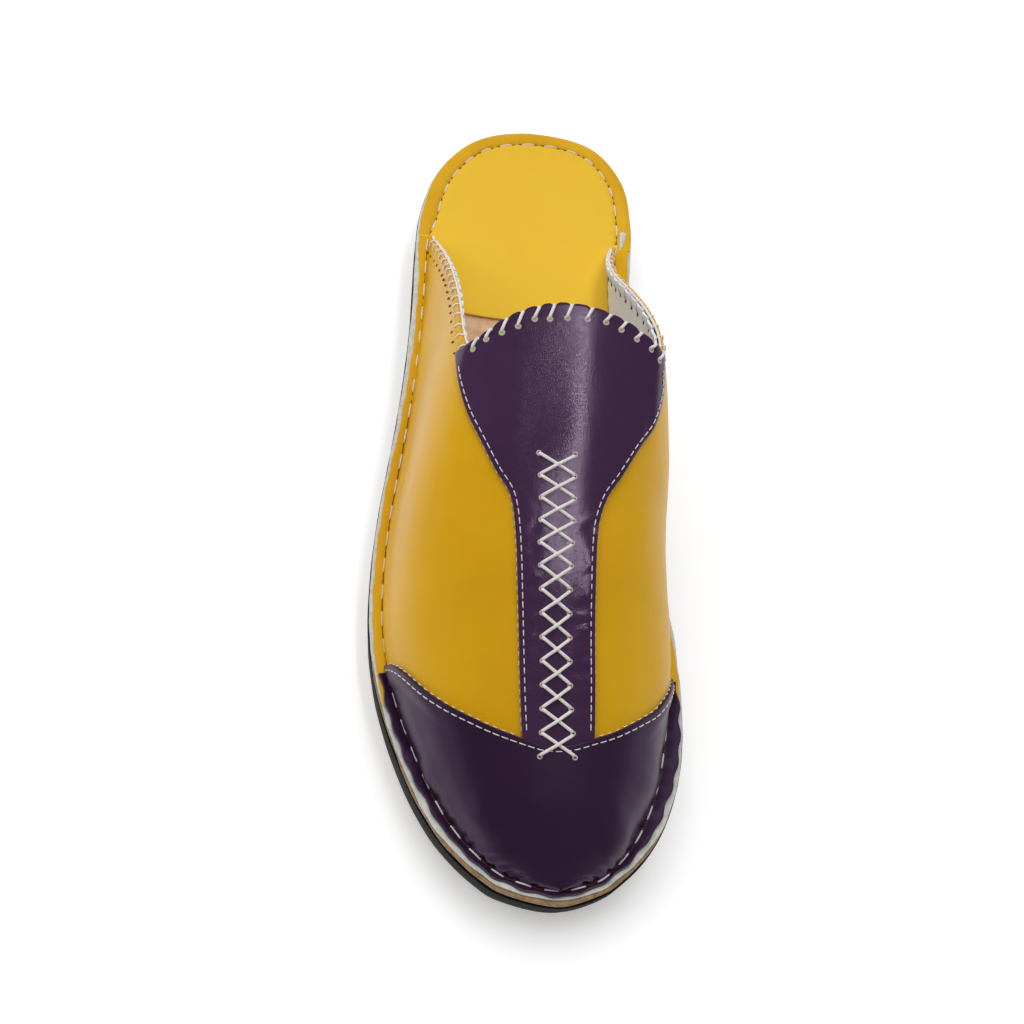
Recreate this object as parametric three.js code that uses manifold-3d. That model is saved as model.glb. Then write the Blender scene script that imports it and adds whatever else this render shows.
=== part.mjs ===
// A backless leather slipper for the right foot: a stitched-out upper on a layered sole.
// Millimetres, +Z up, toe towards -Y, inner (big toe) side towards +X, origin on the ground under the middle.
import * as THREE from 'three';
import { mergeVertices } from 'three/addons/utils/BufferGeometryUtils.js';
import Module from 'manifold-3d';

const wasm = await Module();
wasm.setup();

// Sizes of the whole shoe
const length = 280;
const ballWidth = 99;
const heelHeight = 20.4; // top of the black layer at the heel
const ballHeight = 16.1; // the same at the ball
const toeSpring = 2.8;
const instepHeight = 62; // from the flange to the crest at the throat

// Layers, from the ground up
const outsoleThickness = 2.3;
const ribPitch = 5.2;
const ribDepth = 1.2;
const ribCrest = 1.8;
const treadHeel = 5.2; // grey layer at the heel
const treadBall = 6.2; // grey layer at the ball
const boardThickness = 2.2;
const sockThickness = 1.1;
const flangeThickness = 1.1;
const flangeWidth = 4; // from the stitched groove to the edge of the sole
const wallThickness = 1.8;
const overlayThickness = 0.9; // purple leather over the wall and over the flange
const fit = 0.3; // clearance between two pieces

// Edges that step back from the outline of the black layer
const outsoleStep = 1.1;
const treadStep = 0.5;
const boardStep = 0.4;
const flangeStep = 0.9;
const heelTuck = 7; // how far the sole draws in under the back of the heel
const toeTuck = 1.2;
const heelTuckReach = 34; // where the heel's tuck has run out
const toeTuckReach = 44;

// The open back of the upper and the sock in it
const wingStart = 50; // the flange and the wings begin here
const throatReach = 115; // the middle of the tongue's edge
const throatBow = 12; // from there back to the corners where it meets the wings
const sockFront = 78.3;
const sockBow = 4;

// Purple pieces and the cord
const capReach = 40.8; // from the tip of the shoe back to the middle of the cap's seam
const capBow = 28; // from there back to where the seam meets the flange
const capFlangeStep = 2.6; // the white lining shows outside the cap's flange
const cordWidth = 1.7;
const cordThickness = 1.1;
const crossLap = 2.3; // how far the last cross reaches over the cap
const crossLength = 82.2;
const crossEnd = length - capReach + crossLap;
const crossStart = crossEnd - crossLength;
const crossWidth = 9;
const crossCount = 13;

// The sole's outline: share of the length, and on each side of the middle line the share of the ball width
const outlineRows = [
  { along: 0.018, outer: 0.18, inner: 0.248 },
  { along: 0.071, outer: 0.323, inner: 0.36 },
  { along: 0.143, outer: 0.385, inner: 0.388 },
  { along: 0.214, outer: 0.396, inner: 0.375 },
  { along: 0.286, outer: 0.402, inner: 0.369 },
  { along: 0.357, outer: 0.416, inner: 0.377 },
  { along: 0.429, outer: 0.437, inner: 0.397 },
  { along: 0.5, outer: 0.465, inner: 0.42 },
  { along: 0.571, outer: 0.491, inner: 0.442 },
  { along: 0.643, outer: 0.505, inner: 0.46 },
  { along: 0.714, outer: 0.498, inner: 0.484 },
  { along: 0.786, outer: 0.46, inner: 0.495 },
  { along: 0.857, outer: 0.388, inner: 0.474 },
  { along: 0.911, outer: 0.311, inner: 0.421 },
  { along: 0.946, outer: 0.236, inner: 0.358 },
  { along: 0.971, outer: 0.159, inner: 0.286 },
  { along: 0.986, outer: 0.093, inner: 0.225 },
];
const heelMiddle = 0.035; // share of the ball width
const toeMiddle = 0.088;

// The crest of the last: share of the way to its tip, share of the instep height, share of the ball width
const crestRows = [
  { along: 0.1, height: 1, across: 0.045 },
  { along: 0.37, height: 1, across: 0.045 },
  { along: 0.42, height: 0.985, across: 0.045 },
  { along: 0.47, height: 0.955, across: 0.042 },
  { along: 0.525, height: 0.912, across: 0.038 },
  { along: 0.6, height: 0.83, across: 0.037 },
  { along: 0.69, height: 0.712, across: 0.043 },
  { along: 0.76, height: 0.573, across: 0.046 },
  { along: 0.84, height: 0.41, across: 0.052 },
  { along: 0.91, height: 0.27, across: 0.062 },
  { along: 0.94, height: 0.203, across: 0.068 },
  { along: 0.967, height: 0.135, across: 0.076 },
  { along: 0.982, height: 0.086, across: 0.082 },
  { along: 0.9945, height: 0.04, across: 0.087 },
  { along: 1, height: 0.016, across: 0.088 },
];

// The walls of the last on each side: the fullness of the arch, the lean of the wall and its low bulge
// as shares of the ball width, and the flange beside it as a share of flangeWidth
const outerRows = [
  { along: 0.1, full: 3.8, lean: -0.19, bulge: 0, flange: 1.1 },
  { along: 0.23, full: 3.8, lean: -0.19, bulge: 0, flange: 1.1 },
  { along: 0.31, full: 4, lean: -0.155, bulge: 0, flange: 1 },
  { along: 0.39, full: 4.3, lean: -0.13, bulge: 0, flange: 1 },
  { along: 0.46, full: 4.4, lean: -0.11, bulge: 0.006, flange: 1 },
  { along: 0.53, full: 3.9, lean: -0.1, bulge: 0.01, flange: 1 },
  { along: 0.63, full: 2.9, lean: -0.06, bulge: 0.012, flange: 1 },
  { along: 0.74, full: 2.4, lean: -0.03, bulge: 0.01, flange: 1 },
  { along: 0.84, full: 2.25, lean: 0, bulge: 0.005, flange: 1.1 },
  { along: 1, full: 2.1, lean: 0, bulge: 0, flange: 1 },
];
const innerRows = [
  { along: 0.1, full: 3.8, lean: -0.2, bulge: 0, flange: 1.65 },
  { along: 0.23, full: 3.8, lean: -0.15, bulge: 0, flange: 1.5 },
  { along: 0.31, full: 4, lean: -0.02, bulge: 0, flange: 1.3 },
  { along: 0.37, full: 4.2, lean: 0.04, bulge: 0.01, flange: 1.2 },
  { along: 0.44, full: 4.4, lean: 0.052, bulge: 0.03, flange: 1.1 },
  { along: 0.53, full: 3.9, lean: 0.01, bulge: 0.045, flange: 1.1 },
  { along: 0.6, full: 3, lean: 0, bulge: 0.03, flange: 1.25 },
  { along: 0.67, full: 2.7, lean: 0, bulge: 0.012, flange: 1.2 },
  { along: 0.74, full: 2.4, lean: 0, bulge: 0.002, flange: 1.15 },
  { along: 0.84, full: 2.25, lean: 0, bulge: 0, flange: 1.8 },
  { along: 0.9, full: 2.2, lean: 0, bulge: 0, flange: 2 },
  { along: 0.94, full: 2.2, lean: 0, bulge: 0, flange: 1.8 },
  { along: 1, full: 2.1, lean: 0, bulge: 0, flange: 1 },
];

// The top line of the wings, seen from the side: height above the flange as a share of the instep height,
// and the reach as a share of the way from the wing's start to the corner of the throat
const wingRows = [
  { up: 0, reach: 0 },
  { up: 0.16, reach: 0.15 },
  { up: 0.37, reach: 0.36 },
  { up: 0.49, reach: 0.49 },
  { up: 0.63, reach: 0.67 },
  { up: 0.73, reach: 0.84 },
  { up: 0.81, reach: 1 },
];

// The tongue's edge, seen from above: share of the ball width, and how far it falls back from its middle
// as a share of throatBow
const throatRows = [
  { across: -0.45, back: 1.1 },
  { across: -0.27, back: 1 },
  { across: -0.21, back: 0.9 },
  { across: -0.145, back: 0.52 },
  { across: -0.06, back: 0.15 },
  { across: 0.025, back: 0 },
  { across: 0.12, back: 0.07 },
  { across: 0.22, back: 0.32 },
  { across: 0.3, back: 0.62 },
  { across: 0.37, back: 0.75 },
  { across: 0.45, back: 0.78 },
];

// The purple vamp strip, seen from above: share of the length, and its edges as shares of the ball width
const stripRows = [
  { along: 0.405, outer: -0.287, inner: 0.364 },
  { along: 0.455, outer: -0.285, inner: 0.362 },
  { along: 0.49, outer: -0.275, inner: 0.358 },
  { along: 0.527, outer: -0.246, inner: 0.328 },
  { along: 0.556, outer: -0.203, inner: 0.273 },
  { along: 0.59, outer: -0.137, inner: 0.209 },
  { along: 0.613, outer: -0.1, inner: 0.175 },
  { along: 0.645, outer: -0.087, inner: 0.153 },
  { along: 0.714, outer: -0.076, inner: 0.151 },
  { along: 0.81, outer: -0.06, inner: 0.161 },
  { along: 0.88, outer: -0.04, inner: 0.166 },
];

// The seam of the toe cap, seen from above: share of the ball width, and how far it falls back from its
// middle as a share of capBow
const capRows = [
  { across: -0.62, back: 1.5 },
  { across: -0.47, back: 1.2 },
  { across: -0.435, back: 0.99 },
  { across: -0.357, back: 0.67 },
  { across: -0.28, back: 0.455 },
  { across: -0.186, back: 0.27 },
  { across: -0.11, back: 0.147 },
  { across: 0, back: 0.02 },
  { across: 0.045, back: 0 },
  { across: 0.1, back: 0.02 },
  { across: 0.158, back: 0.086 },
  { across: 0.227, back: 0.18 },
  { across: 0.317, back: 0.37 },
  { across: 0.368, back: 0.525 },
  { across: 0.43, back: 0.88 },
  { across: 0.47, back: 1.42 },
  { across: 0.62, back: 1.9 },
];

// The middle of the row of crosses: share of its run, share of the ball width
const crossRows = [
  { along: 0, across: 0.02 },
  { along: 0.5, across: 0.029 },
  { along: 1, across: 0.055 },
];

// How the sole tucks in under the heel and the toe, from the top down: height as a share of the heel
// height, share of the tuck
const tuckRows = [
  { up: 1.5, tuck: 0 },
  { up: 0.85, tuck: 0 },
  { up: 0.55, tuck: 0.1 },
  { up: 0.3, tuck: 0.3 },
  { up: 0.12, tuck: 0.62 },
  { up: 0, tuck: 1 },
  { up: -0.15, tuck: 1.3 },
];

// Walks a table by its first column and gives a smooth value of another
function follow(rows, key, column, at) {
  const last = rows.length - 1;
  const place = THREE.MathUtils.clamp(at, rows[0][key], rows[last][key]);
  let row = rows.findIndex((entry) => entry[key] >= place);
  row = Math.max(row, 1);
  const slope = (index) => {
    const before = rows[Math.max(index - 1, 0)];
    const after = rows[Math.min(index + 1, last)];
    return (after[column] - before[column]) / (after[key] - before[key]);
  };
  const start = rows[row - 1];
  const end = rows[row];
  const span = end[key] - start[key];
  const part = (place - start[key]) / span;
  const square = part * part;
  const cube = square * part;
  return (2 * cube - 3 * square + 1) * start[column]
    + (cube - 2 * square + part) * span * slope(row - 1)
    + (3 * square - 2 * cube) * end[column]
    + (cube - square) * span * slope(row);
}

const ease = (part) => {
  const held = THREE.MathUtils.clamp(part, 0, 1);
  return held * held * (3 - 2 * held);
};

// Heights along the shoe; reach is the distance from the back of the heel
const springStart = 0.66;
const slopeStart = 0.21;
const slopeEnd = 0.64;
const forward = (reach) => ease((reach / length - slopeStart) / (slopeEnd - slopeStart));
const spring = (reach) => toeSpring * Math.max(0, (reach / length - springStart) / (1 - springStart)) ** 2;
const deck = (reach) => THREE.MathUtils.lerp(heelHeight, ballHeight, forward(reach)) + spring(reach);

const outsoleTop = (reach) => spring(reach) + outsoleThickness;
const treadTop = (reach) => outsoleTop(reach) + fit + THREE.MathUtils.lerp(treadHeel, treadBall, forward(reach));
const boardLow = (reach) => deck(reach) + fit;
const boardTop = (reach) => boardLow(reach) + boardThickness;
const flangeLow = (reach) => boardTop(reach) + fit;
const flangeTop = (reach) => flangeLow(reach) + flangeThickness;
const sockTop = (reach) => flangeLow(reach) + sockThickness;

// A point of a plan
const at = (x, reach) => new THREE.Vector3(x, reach, 0);

// Plan of the sole, as points of x and reach, running up the outer side and back along the inner side
const outlinePoints = 112;
function soleOutline() {
  const outer = outlineRows.map((row) => at(-row.outer * ballWidth, row.along * length));
  const inner = outlineRows.map((row) => at(row.inner * ballWidth, row.along * length));
  const heel = at(heelMiddle * ballWidth, 0);
  const toe = at(toeMiddle * ballWidth, length);
  const curve = new THREE.CatmullRomCurve3([heel, ...outer, toe, ...inner.reverse()], true, 'centripetal');
  return curve.getSpacedPoints(outlinePoints).slice(0, outlinePoints);
}
const outline = soleOutline();

// Moves each point of a closed plan inwards by a distance that may depend on where it is
function inset(loop, distanceAt) {
  return loop.map((point, index) => {
    const before = loop[(index + loop.length - 1) % loop.length];
    const after = loop[(index + 1) % loop.length];
    const run = after.clone().sub(before).normalize();
    const distance = distanceAt(point);
    return at(point.x + run.y * distance, point.y - run.x * distance);
  });
}

// The x of a plan's edge on one side at a given reach
function edgeAt(loop, reach, side) {
  let found = null;
  loop.forEach((start, index) => {
    const end = loop[(index + 1) % loop.length];
    const low = Math.min(start.y, end.y);
    const high = Math.max(start.y, end.y);
    if (reach < low || reach > high || high === low) return;
    const x = THREE.MathUtils.lerp(start.x, end.x, (reach - start.y) / (end.y - start.y));
    if (found === null || side * x > side * found) found = x;
  });
  return found;
}

const middleOf = (reach) => THREE.MathUtils.lerp(heelMiddle, toeMiddle, reach / length) * ballWidth;

function flangeAt(point) {
  const rows = point.x < middleOf(point.y) ? outerRows : innerRows;
  const share = point.y / (length - flangeWidth);
  return flangeWidth * follow(rows, 'along', 'flange', share);
}

// Solids
function solidOf(geometry) {
  const bare = geometry.clone();
  bare.deleteAttribute('normal');
  bare.deleteAttribute('uv');
  const merged = mergeVertices(bare, 1e-4);
  return new wasm.Manifold(new wasm.Mesh({
    numProp: 3,
    vertProperties: new Float32Array(merged.attributes.position.array),
    triVerts: new Uint32Array(merged.index.array),
  }));
}

const leather = (color, roughness) => new THREE.MeshStandardMaterial({ color, roughness, metalness: 0 });
const rubber = (color) => new THREE.MeshStandardMaterial({ color, roughness: 0.75, metalness: 0 });

function meshOf(name, solid, material) {
  const { vertProperties, triVerts } = solid.getMesh();
  const geometry = new THREE.BufferGeometry();
  geometry.setAttribute('position', new THREE.BufferAttribute(new Float32Array(vertProperties), 3));
  geometry.setIndex(new THREE.BufferAttribute(new Uint32Array(triVerts), 1));
  geometry.computeVertexNormals();
  const mesh = new THREE.Mesh(geometry, material);
  mesh.name = name;
  return mesh;
}

const tall = 200; // taller and wider than the shoe
const toY = (reach) => length / 2 - reach;

// An upright prism over a plan
function prism(loop, low = -tall, high = tall) {
  const shape = new THREE.Shape(loop.map((point) => new THREE.Vector2(point.x, toY(point.y))));
  const geometry = new THREE.ExtrudeGeometry(shape, { depth: high - low, bevelEnabled: false });
  return solidOf(geometry.translate(0, 0, low));
}

// A side profile of reach and height, carried right across the shoe
function across(profile) {
  const shape = new THREE.Shape(profile.map(([reach, height]) => new THREE.Vector2(toY(reach), height)));
  const geometry = new THREE.ExtrudeGeometry(shape, { depth: 2 * tall, bevelEnabled: false });
  const turn = new THREE.Matrix4().makeBasis(
    new THREE.Vector3(0, 1, 0),
    new THREE.Vector3(0, 0, 1),
    new THREE.Vector3(1, 0, 0),
  );
  return solidOf(geometry.applyMatrix4(turn).translate(-tall, 0, 0));
}

// The reaches at which a layer's top or bottom bends
const bandCount = 18;
const bandSteps = [-0.05 * length, slopeStart * length];
for (let step = 1; step <= bandCount; step += 1) {
  bandSteps.push(THREE.MathUtils.lerp(slopeStart, 1.02, step / bandCount) * length);
}

function band(lowAt, highAt, low = bandSteps) {
  const under = low.map((reach) => [reach, lowAt(reach)]);
  const over = bandSteps.map((reach) => [reach, highAt(reach)]).reverse();
  return across([...under, ...over]);
}

function layer(step, lowAt, highAt) {
  return prism(inset(outline, () => step)).intersect(band(lowAt, highAt));
}

// A closed form from rings of points, each ring joined to the next, with a fan over both ends
function loft(rings) {
  const positions = rings.flatMap((ring) => ring.flatMap((point) => [point.x, point.y, point.z]));
  const count = rings[0].length;
  const indices = [];
  rings.slice(1).forEach((unused, index) => {
    for (let column = 0; column < count; column += 1) {
      const next = (column + 1) % count;
      const a = index * count + column;
      const b = index * count + next;
      indices.push(a, b + count, b, a, a + count, b + count);
    }
  });
  [0, rings.length - 1].forEach((index) => {
    const centre = positions.length / 3;
    const sum = rings[index].reduce((total, point) => total.add(point), new THREE.Vector3());
    positions.push(...sum.divideScalar(count));
    for (let column = 0; column < count; column += 1) {
      const a = index * count + column;
      const b = index * count + ((column + 1) % count);
      indices.push(...(index === 0 ? [centre, a, b] : [centre, b, a]));
    }
  });
  const geometry = new THREE.BufferGeometry();
  geometry.setAttribute('position', new THREE.Float32BufferAttribute(positions, 3));
  geometry.setIndex(indices);
  return solidOf(geometry);
}

// The side of the sole: its outline, stepped back, and drawn in low down at the heel and the toe
function tuckAt(point) {
  const heel = heelTuck * (1 - ease(point.y / heelTuckReach));
  const toe = toeTuck * (1 - ease((length - point.y) / toeTuckReach));
  return heel + toe;
}

function soleForm(step) {
  return loft(tuckRows.map((row) => inset(outline, (point) => step + row.tuck * tuckAt(point))
    .map((point) => new THREE.Vector3(point.x, toY(point.y), spring(point.y) + row.up * heelHeight))));
}

function soleLayer(step, lowAt, highAt, low) {
  return soleForm(step).intersect(band(lowAt, highAt, low));
}

// Ribs across the outsole: flat crests that touch the ground, and grooves between them
function ribReaches() {
  const reaches = [-0.05 * length];
  const count = Math.floor(length / ribPitch);
  const start = (length - count * ribPitch) / 2;
  for (let rib = 0; rib < count; rib += 1) {
    const crest = start + rib * ribPitch;
    reaches.push(crest, crest + ribCrest, crest + (ribPitch + ribCrest) / 2);
  }
  return [...reaches, 1.05 * length];
}

function ribbedGround(reach) {
  const count = Math.floor(length / ribPitch);
  const start = (length - count * ribPitch) / 2;
  const inPitch = (reach - start) / ribPitch - Math.floor((reach - start) / ribPitch);
  const groove = Math.abs(inPitch * ribPitch - (ribPitch + ribCrest) / 2) < ribPitch / 8;
  const plain = reach < start || reach > start + count * ribPitch;
  return spring(reach) + (groove && !plain ? ribDepth : 0);
}

// The last, as a closed form: grow moves its surface out (or in, when negative)
const stations = 25;
const archSteps = 10;
const formStart = 0.1;
const formDrop = 14; // the form runs down through the sole, to cut or be cut

function lastForm(grow) {
  const foot = inset(outline, (point) => flangeAt(point) - grow);
  const tip = Math.max(...foot.map((point) => point.y)) - 0.05;
  const rings = [];
  for (let station = 0; station <= stations; station += 1) {
    const share = formStart + (1 - formStart) * Math.sin((Math.PI / 2) * (station / stations));
    const reach = share * tip;
    const rise = instepHeight * follow(crestRows, 'along', 'height', share) + grow;
    const crest = ballWidth * follow(crestRows, 'along', 'across', share);
    const base = flangeTop(reach);
    const place = (x, z) => new THREE.Vector3(x, toY(reach), z);
    const wall = (rows, side, step) => {
      const turn = (Math.PI / 2) * (step / archSteps) ** 1.4;
      const power = 2 / follow(rows, 'along', 'full', share);
      const up = Math.sin(turn) ** power;
      const half = Math.abs(edgeAt(foot, reach, side) - crest)
        + ballWidth * follow(rows, 'along', 'lean', share) * up
        + ballWidth * follow(rows, 'along', 'bulge', share) * Math.sin(Math.PI * Math.sqrt(up));
      return place(crest + side * half * Math.cos(turn) ** power, base + rise * up);
    };
    const ring = [place(edgeAt(foot, reach, -1), base - formDrop)];
    for (let step = 0; step < archSteps; step += 1) ring.push(wall(outerRows, -1, step));
    ring.push(place(crest, base + rise));
    for (let step = archSteps - 1; step >= 0; step -= 1) ring.push(wall(innerRows, 1, step));
    ring.push(place(edgeAt(foot, reach, 1), base - formDrop));
    rings.push(ring);
  }
  return loft(rings);
}

// Everything behind the tongue's edge, seen from above
function behindTongue() {
  const edge = throatRows.map((row) => at(row.across * ballWidth, throatReach + row.back * throatBow));
  return prism([at(edge[0].x, -tall), ...edge, at(edge.at(-1).x, -tall)]);
}

// Everything above the wings and behind the tongue, as one cutter
function backCutter() {
  const corner = throatReach + throatBow;
  const base = flangeTop(wingStart);
  const wings = wingRows.map((row) => [
    THREE.MathUtils.lerp(wingStart, corner, row.reach),
    base + row.up * instepHeight,
  ]);
  const top = base + wingRows.at(-1).up * instepHeight;
  const above = across([[-tall, base], ...wings, [tall, top], [tall, tall], [-tall, tall]]);
  return above.intersect(behindTongue());
}

function box(lowX, highX, lowReach, highReach) {
  return prism([[lowX, lowReach], [lowX, highReach], [highX, highReach], [highX, lowReach]]
    .map(([x, reach]) => at(x, reach)));
}

function upper() {
  const flange = layer(flangeStep, flangeLow, flangeTop);
  const outside = lastForm(0).intersect(band(flangeLow, () => tall));
  return outside.add(flange)
    .subtract(lastForm(-wallThickness))
    .subtract(backCutter())
    .intersect(box(-tall, tall, wingStart, 2 * tall));
}

function heelSock() {
  const atHeel = prism(inset(outline, () => boardStep)).intersect(box(-tall, tall, -tall, wingStart - fit));
  const inWings = prism(inset(outline, (point) => flangeAt(point) + wallThickness + 2 * fit));
  const bow = [-1, -0.75, -0.5, -0.25, 0, 0.25, 0.5, 0.75, 1].map((part) => at(
    part * ballWidth / 2 + middleOf(sockFront),
    sockFront + sockBow * (1 - part * part),
  ));
  const front = prism([at(-tall, -tall), ...bow, at(tall, -tall)]);
  return atHeel.add(inWings).intersect(front).intersect(band(flangeLow, sockTop));
}

// Plan of everything ahead of the cap's seam, moved forward by a clearance
function aheadOfSeam(clearance) {
  const seam = capRows.map((row) => at(
    row.across * ballWidth,
    length - capReach - row.back * capBow + clearance,
  ));
  return prism([at(seam[0].x, tall + length), ...seam, at(seam.at(-1).x, tall + length)].reverse());
}

// The skin of purple leather that lies over the upper and its flange
function overlaySkin() {
  const low = (reach) => flangeTop(reach) + fit;
  const wall = lastForm(fit + overlayThickness).intersect(band(low, () => tall));
  const flange = layer(capFlangeStep, low, (reach) => low(reach) + overlayThickness);
  return wall.add(flange).subtract(lastForm(fit));
}

// All that lies above half the height of the crest
function upperHalf() {
  const share = (reach) => reach / (length - flangeWidth);
  const rise = (reach) => instepHeight * follow(crestRows, 'along', 'height', share(reach));
  return band((reach) => flangeTop(reach) + rise(reach) / 2, () => tall);
}

function vampStrip(skin) {
  const outer = stripRows.map((row) => at(row.outer * ballWidth, row.along * length));
  const inner = stripRows.map((row) => at(row.inner * ballWidth, row.along * length)).reverse();
  return skin.intersect(prism([...outer, ...inner]))
    .intersect(upperHalf())
    .subtract(aheadOfSeam(-fit))
    .subtract(behindTongue());
}

// One flat bar of cord between two points of the plan
function bar(start, end) {
  const run = end.clone().sub(start).normalize();
  const side = new THREE.Vector3(-run.y, run.x, 0).multiplyScalar(cordWidth / 2);
  const over = run.multiplyScalar(cordWidth / 2);
  const from = start.clone().sub(over);
  const to = end.clone().add(over);
  return prism([from.clone().add(side), from.sub(side), to.clone().sub(side), to.add(side)]);
}

function crossStitch() {
  const middle = (row) => ballWidth * follow(crossRows, 'along', 'across', row / crossCount);
  const hole = (row, side) => at(
    middle(row) + side * crossWidth / 2,
    THREE.MathUtils.lerp(crossStart, crossEnd, row / crossCount),
  );
  const bars = [];
  for (let row = 0; row < crossCount; row += 1) {
    bars.push(bar(hole(row, -1), hole(row + 1, 1)), bar(hole(row, 1), hole(row + 1, -1)));
  }
  const pattern = bars.reduce((joined, next) => joined.add(next));
  const under = fit + overlayThickness + fit;
  return lastForm(under + cordThickness).subtract(lastForm(under))
    .intersect(pattern)
    .intersect(upperHalf());
}

const skin = overlaySkin();
const slipper = new THREE.Group();
slipper.add(
  meshOf('outsole', soleLayer(outsoleStep, ribbedGround, outsoleTop, ribReaches()), rubber(0xc79a6b)),
  meshOf('midsole_lower', soleLayer(treadStep, (reach) => outsoleTop(reach) + fit, treadTop), rubber(0x2c3230)),
  meshOf('midsole_upper', soleLayer(0, (reach) => treadTop(reach) + fit, deck), rubber(0x101214)),
  meshOf('insole_board', layer(boardStep, boardLow, boardTop), leather(0xd9b487, 0.8)),
  meshOf('heel_sock', heelSock(), leather(0xe2ad22, 0.5)),
  meshOf('upper', upper(), leather(0xdba51c, 0.45)),
  meshOf('toe_cap', skin.intersect(aheadOfSeam(0)), leather(0x33203a, 0.3)),
  meshOf('vamp_strip', vampStrip(skin), leather(0x3a2543, 0.3)),
  meshOf('cross_stitch', crossStitch(), leather(0xd9d0bd, 0.7)),
);

const bounds = new THREE.Box3().setFromObject(slipper);
const centre = bounds.getCenter(new THREE.Vector3());
slipper.position.set(-centre.x, -centre.y, -bounds.min.z);

export default slipper;
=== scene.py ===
# Backless leather slipper, right foot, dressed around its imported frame.
# Worked out in millimetres, built in metres.
import bisect
import math
import bmesh
import bpy
from mathutils import Matrix, Vector, noise


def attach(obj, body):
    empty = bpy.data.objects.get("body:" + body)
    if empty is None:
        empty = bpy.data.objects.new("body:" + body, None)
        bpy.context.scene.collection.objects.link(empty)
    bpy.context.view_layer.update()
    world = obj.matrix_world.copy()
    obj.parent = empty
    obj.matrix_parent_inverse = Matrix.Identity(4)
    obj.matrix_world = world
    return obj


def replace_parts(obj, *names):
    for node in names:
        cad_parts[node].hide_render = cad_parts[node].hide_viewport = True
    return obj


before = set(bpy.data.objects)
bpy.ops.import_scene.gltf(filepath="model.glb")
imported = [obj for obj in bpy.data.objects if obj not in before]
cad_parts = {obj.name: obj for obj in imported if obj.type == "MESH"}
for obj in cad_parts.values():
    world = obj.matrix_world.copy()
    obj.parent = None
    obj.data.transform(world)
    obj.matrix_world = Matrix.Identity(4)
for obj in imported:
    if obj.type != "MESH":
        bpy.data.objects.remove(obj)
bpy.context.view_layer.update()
print("frame loaded:", len(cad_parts), "nodes")

shoe = {
    "length": 280, "ballWidth": 99, "heelHeight": 20.4, "ballHeight": 16.1, "toeSpring": 2.8,
    "instep": 62, "flange": 4, "board": 2.2, "leather": 1.1, "outsole": 2.3, "fit": 0.3,
    "treadHeel": 5.2, "treadBall": 6.2, "shift": 0.5, "wingStart": 50, "throat": 115, "throatBow": 12,
    "capReach": 40.8, "capBow": 28, "heelMiddle": 0.035, "toeMiddle": 0.088,
    "heelTuck": 7, "heelTuckLength": 34, "toeTuck": 1.2, "toeTuckLength": 44,
}

# share of the length, outer and inner share of the ball width
outlineRows = [
    (0.018, 0.18, 0.248), (0.071, 0.323, 0.36), (0.143, 0.385, 0.388), (0.214, 0.396, 0.375),
    (0.286, 0.402, 0.369), (0.357, 0.416, 0.377), (0.429, 0.437, 0.397), (0.5, 0.465, 0.42),
    (0.571, 0.491, 0.442), (0.643, 0.505, 0.46), (0.714, 0.498, 0.484), (0.786, 0.46, 0.495),
    (0.857, 0.388, 0.474), (0.911, 0.311, 0.421), (0.946, 0.236, 0.358), (0.971, 0.159, 0.286),
    (0.986, 0.093, 0.225),
]
# share of the way to the tip, share of the instep, place across
crestRows = [
    (0.1, 1, 0.045), (0.37, 1, 0.045), (0.42, 0.985, 0.045), (0.47, 0.955, 0.042), (0.525, 0.912, 0.038),
    (0.6, 0.83, 0.037), (0.69, 0.712, 0.043), (0.76, 0.573, 0.046), (0.84, 0.41, 0.052),
    (0.91, 0.27, 0.062), (0.94, 0.203, 0.068), (0.967, 0.135, 0.076), (0.982, 0.086, 0.082),
    (0.9945, 0.04, 0.087), (1, 0.016, 0.088),
]
# share of the way to the tip, fullness of the arch, lean, bulge, flange
wallRows = {
    -1: [
        (0.1, 3.8, -0.19, 0, 1.1), (0.23, 3.8, -0.19, 0, 1.1), (0.31, 4, -0.155, 0, 1),
        (0.39, 4.3, -0.13, 0, 1), (0.46, 4.4, -0.11, 0.006, 1), (0.53, 3.9, -0.1, 0.01, 1),
        (0.63, 2.9, -0.06, 0.012, 1),
        (0.74, 2.4, -0.03, 0.01, 1), (0.84, 2.25, 0, 0.005, 1.1), (1, 2.1, 0, 0, 1),
    ],
    1: [
        (0.1, 3.8, -0.2, 0, 1.65), (0.23, 3.8, -0.15, 0, 1.5), (0.31, 4, -0.02, 0, 1.3),
        (0.37, 4.2, 0.04, 0.01, 1.2), (0.44, 4.4, 0.052, 0.03, 1.1), (0.53, 3.9, 0.01, 0.045, 1.1),
        (0.6, 3, 0, 0.03, 1.25),
        (0.67, 2.7, 0, 0.012, 1.2), (0.74, 2.4, 0, 0.002, 1.15), (0.84, 2.25, 0, 0, 1.8), (0.9, 2.2, 0, 0, 2),
        (0.94, 2.2, 0, 0, 1.8), (1, 2.1, 0, 0, 1),
    ],
}
# share of the way from the wing's start to the throat's corner, share of the instep
wingRows = [(0, 0), (0.15, 0.16), (0.36, 0.37), (0.49, 0.49), (0.67, 0.63), (0.84, 0.73), (1, 0.81)]
# share of the ball width, share of the throat's bow
throatRows = [
    (-0.45, 1.1), (-0.27, 0.93), (-0.21, 0.76), (-0.145, 0.44), (-0.06, 0.13), (0.025, 0), (0.12, 0.07),
    (0.22, 0.32), (0.3, 0.62), (0.37, 0.75), (0.45, 0.78),
]
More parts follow.
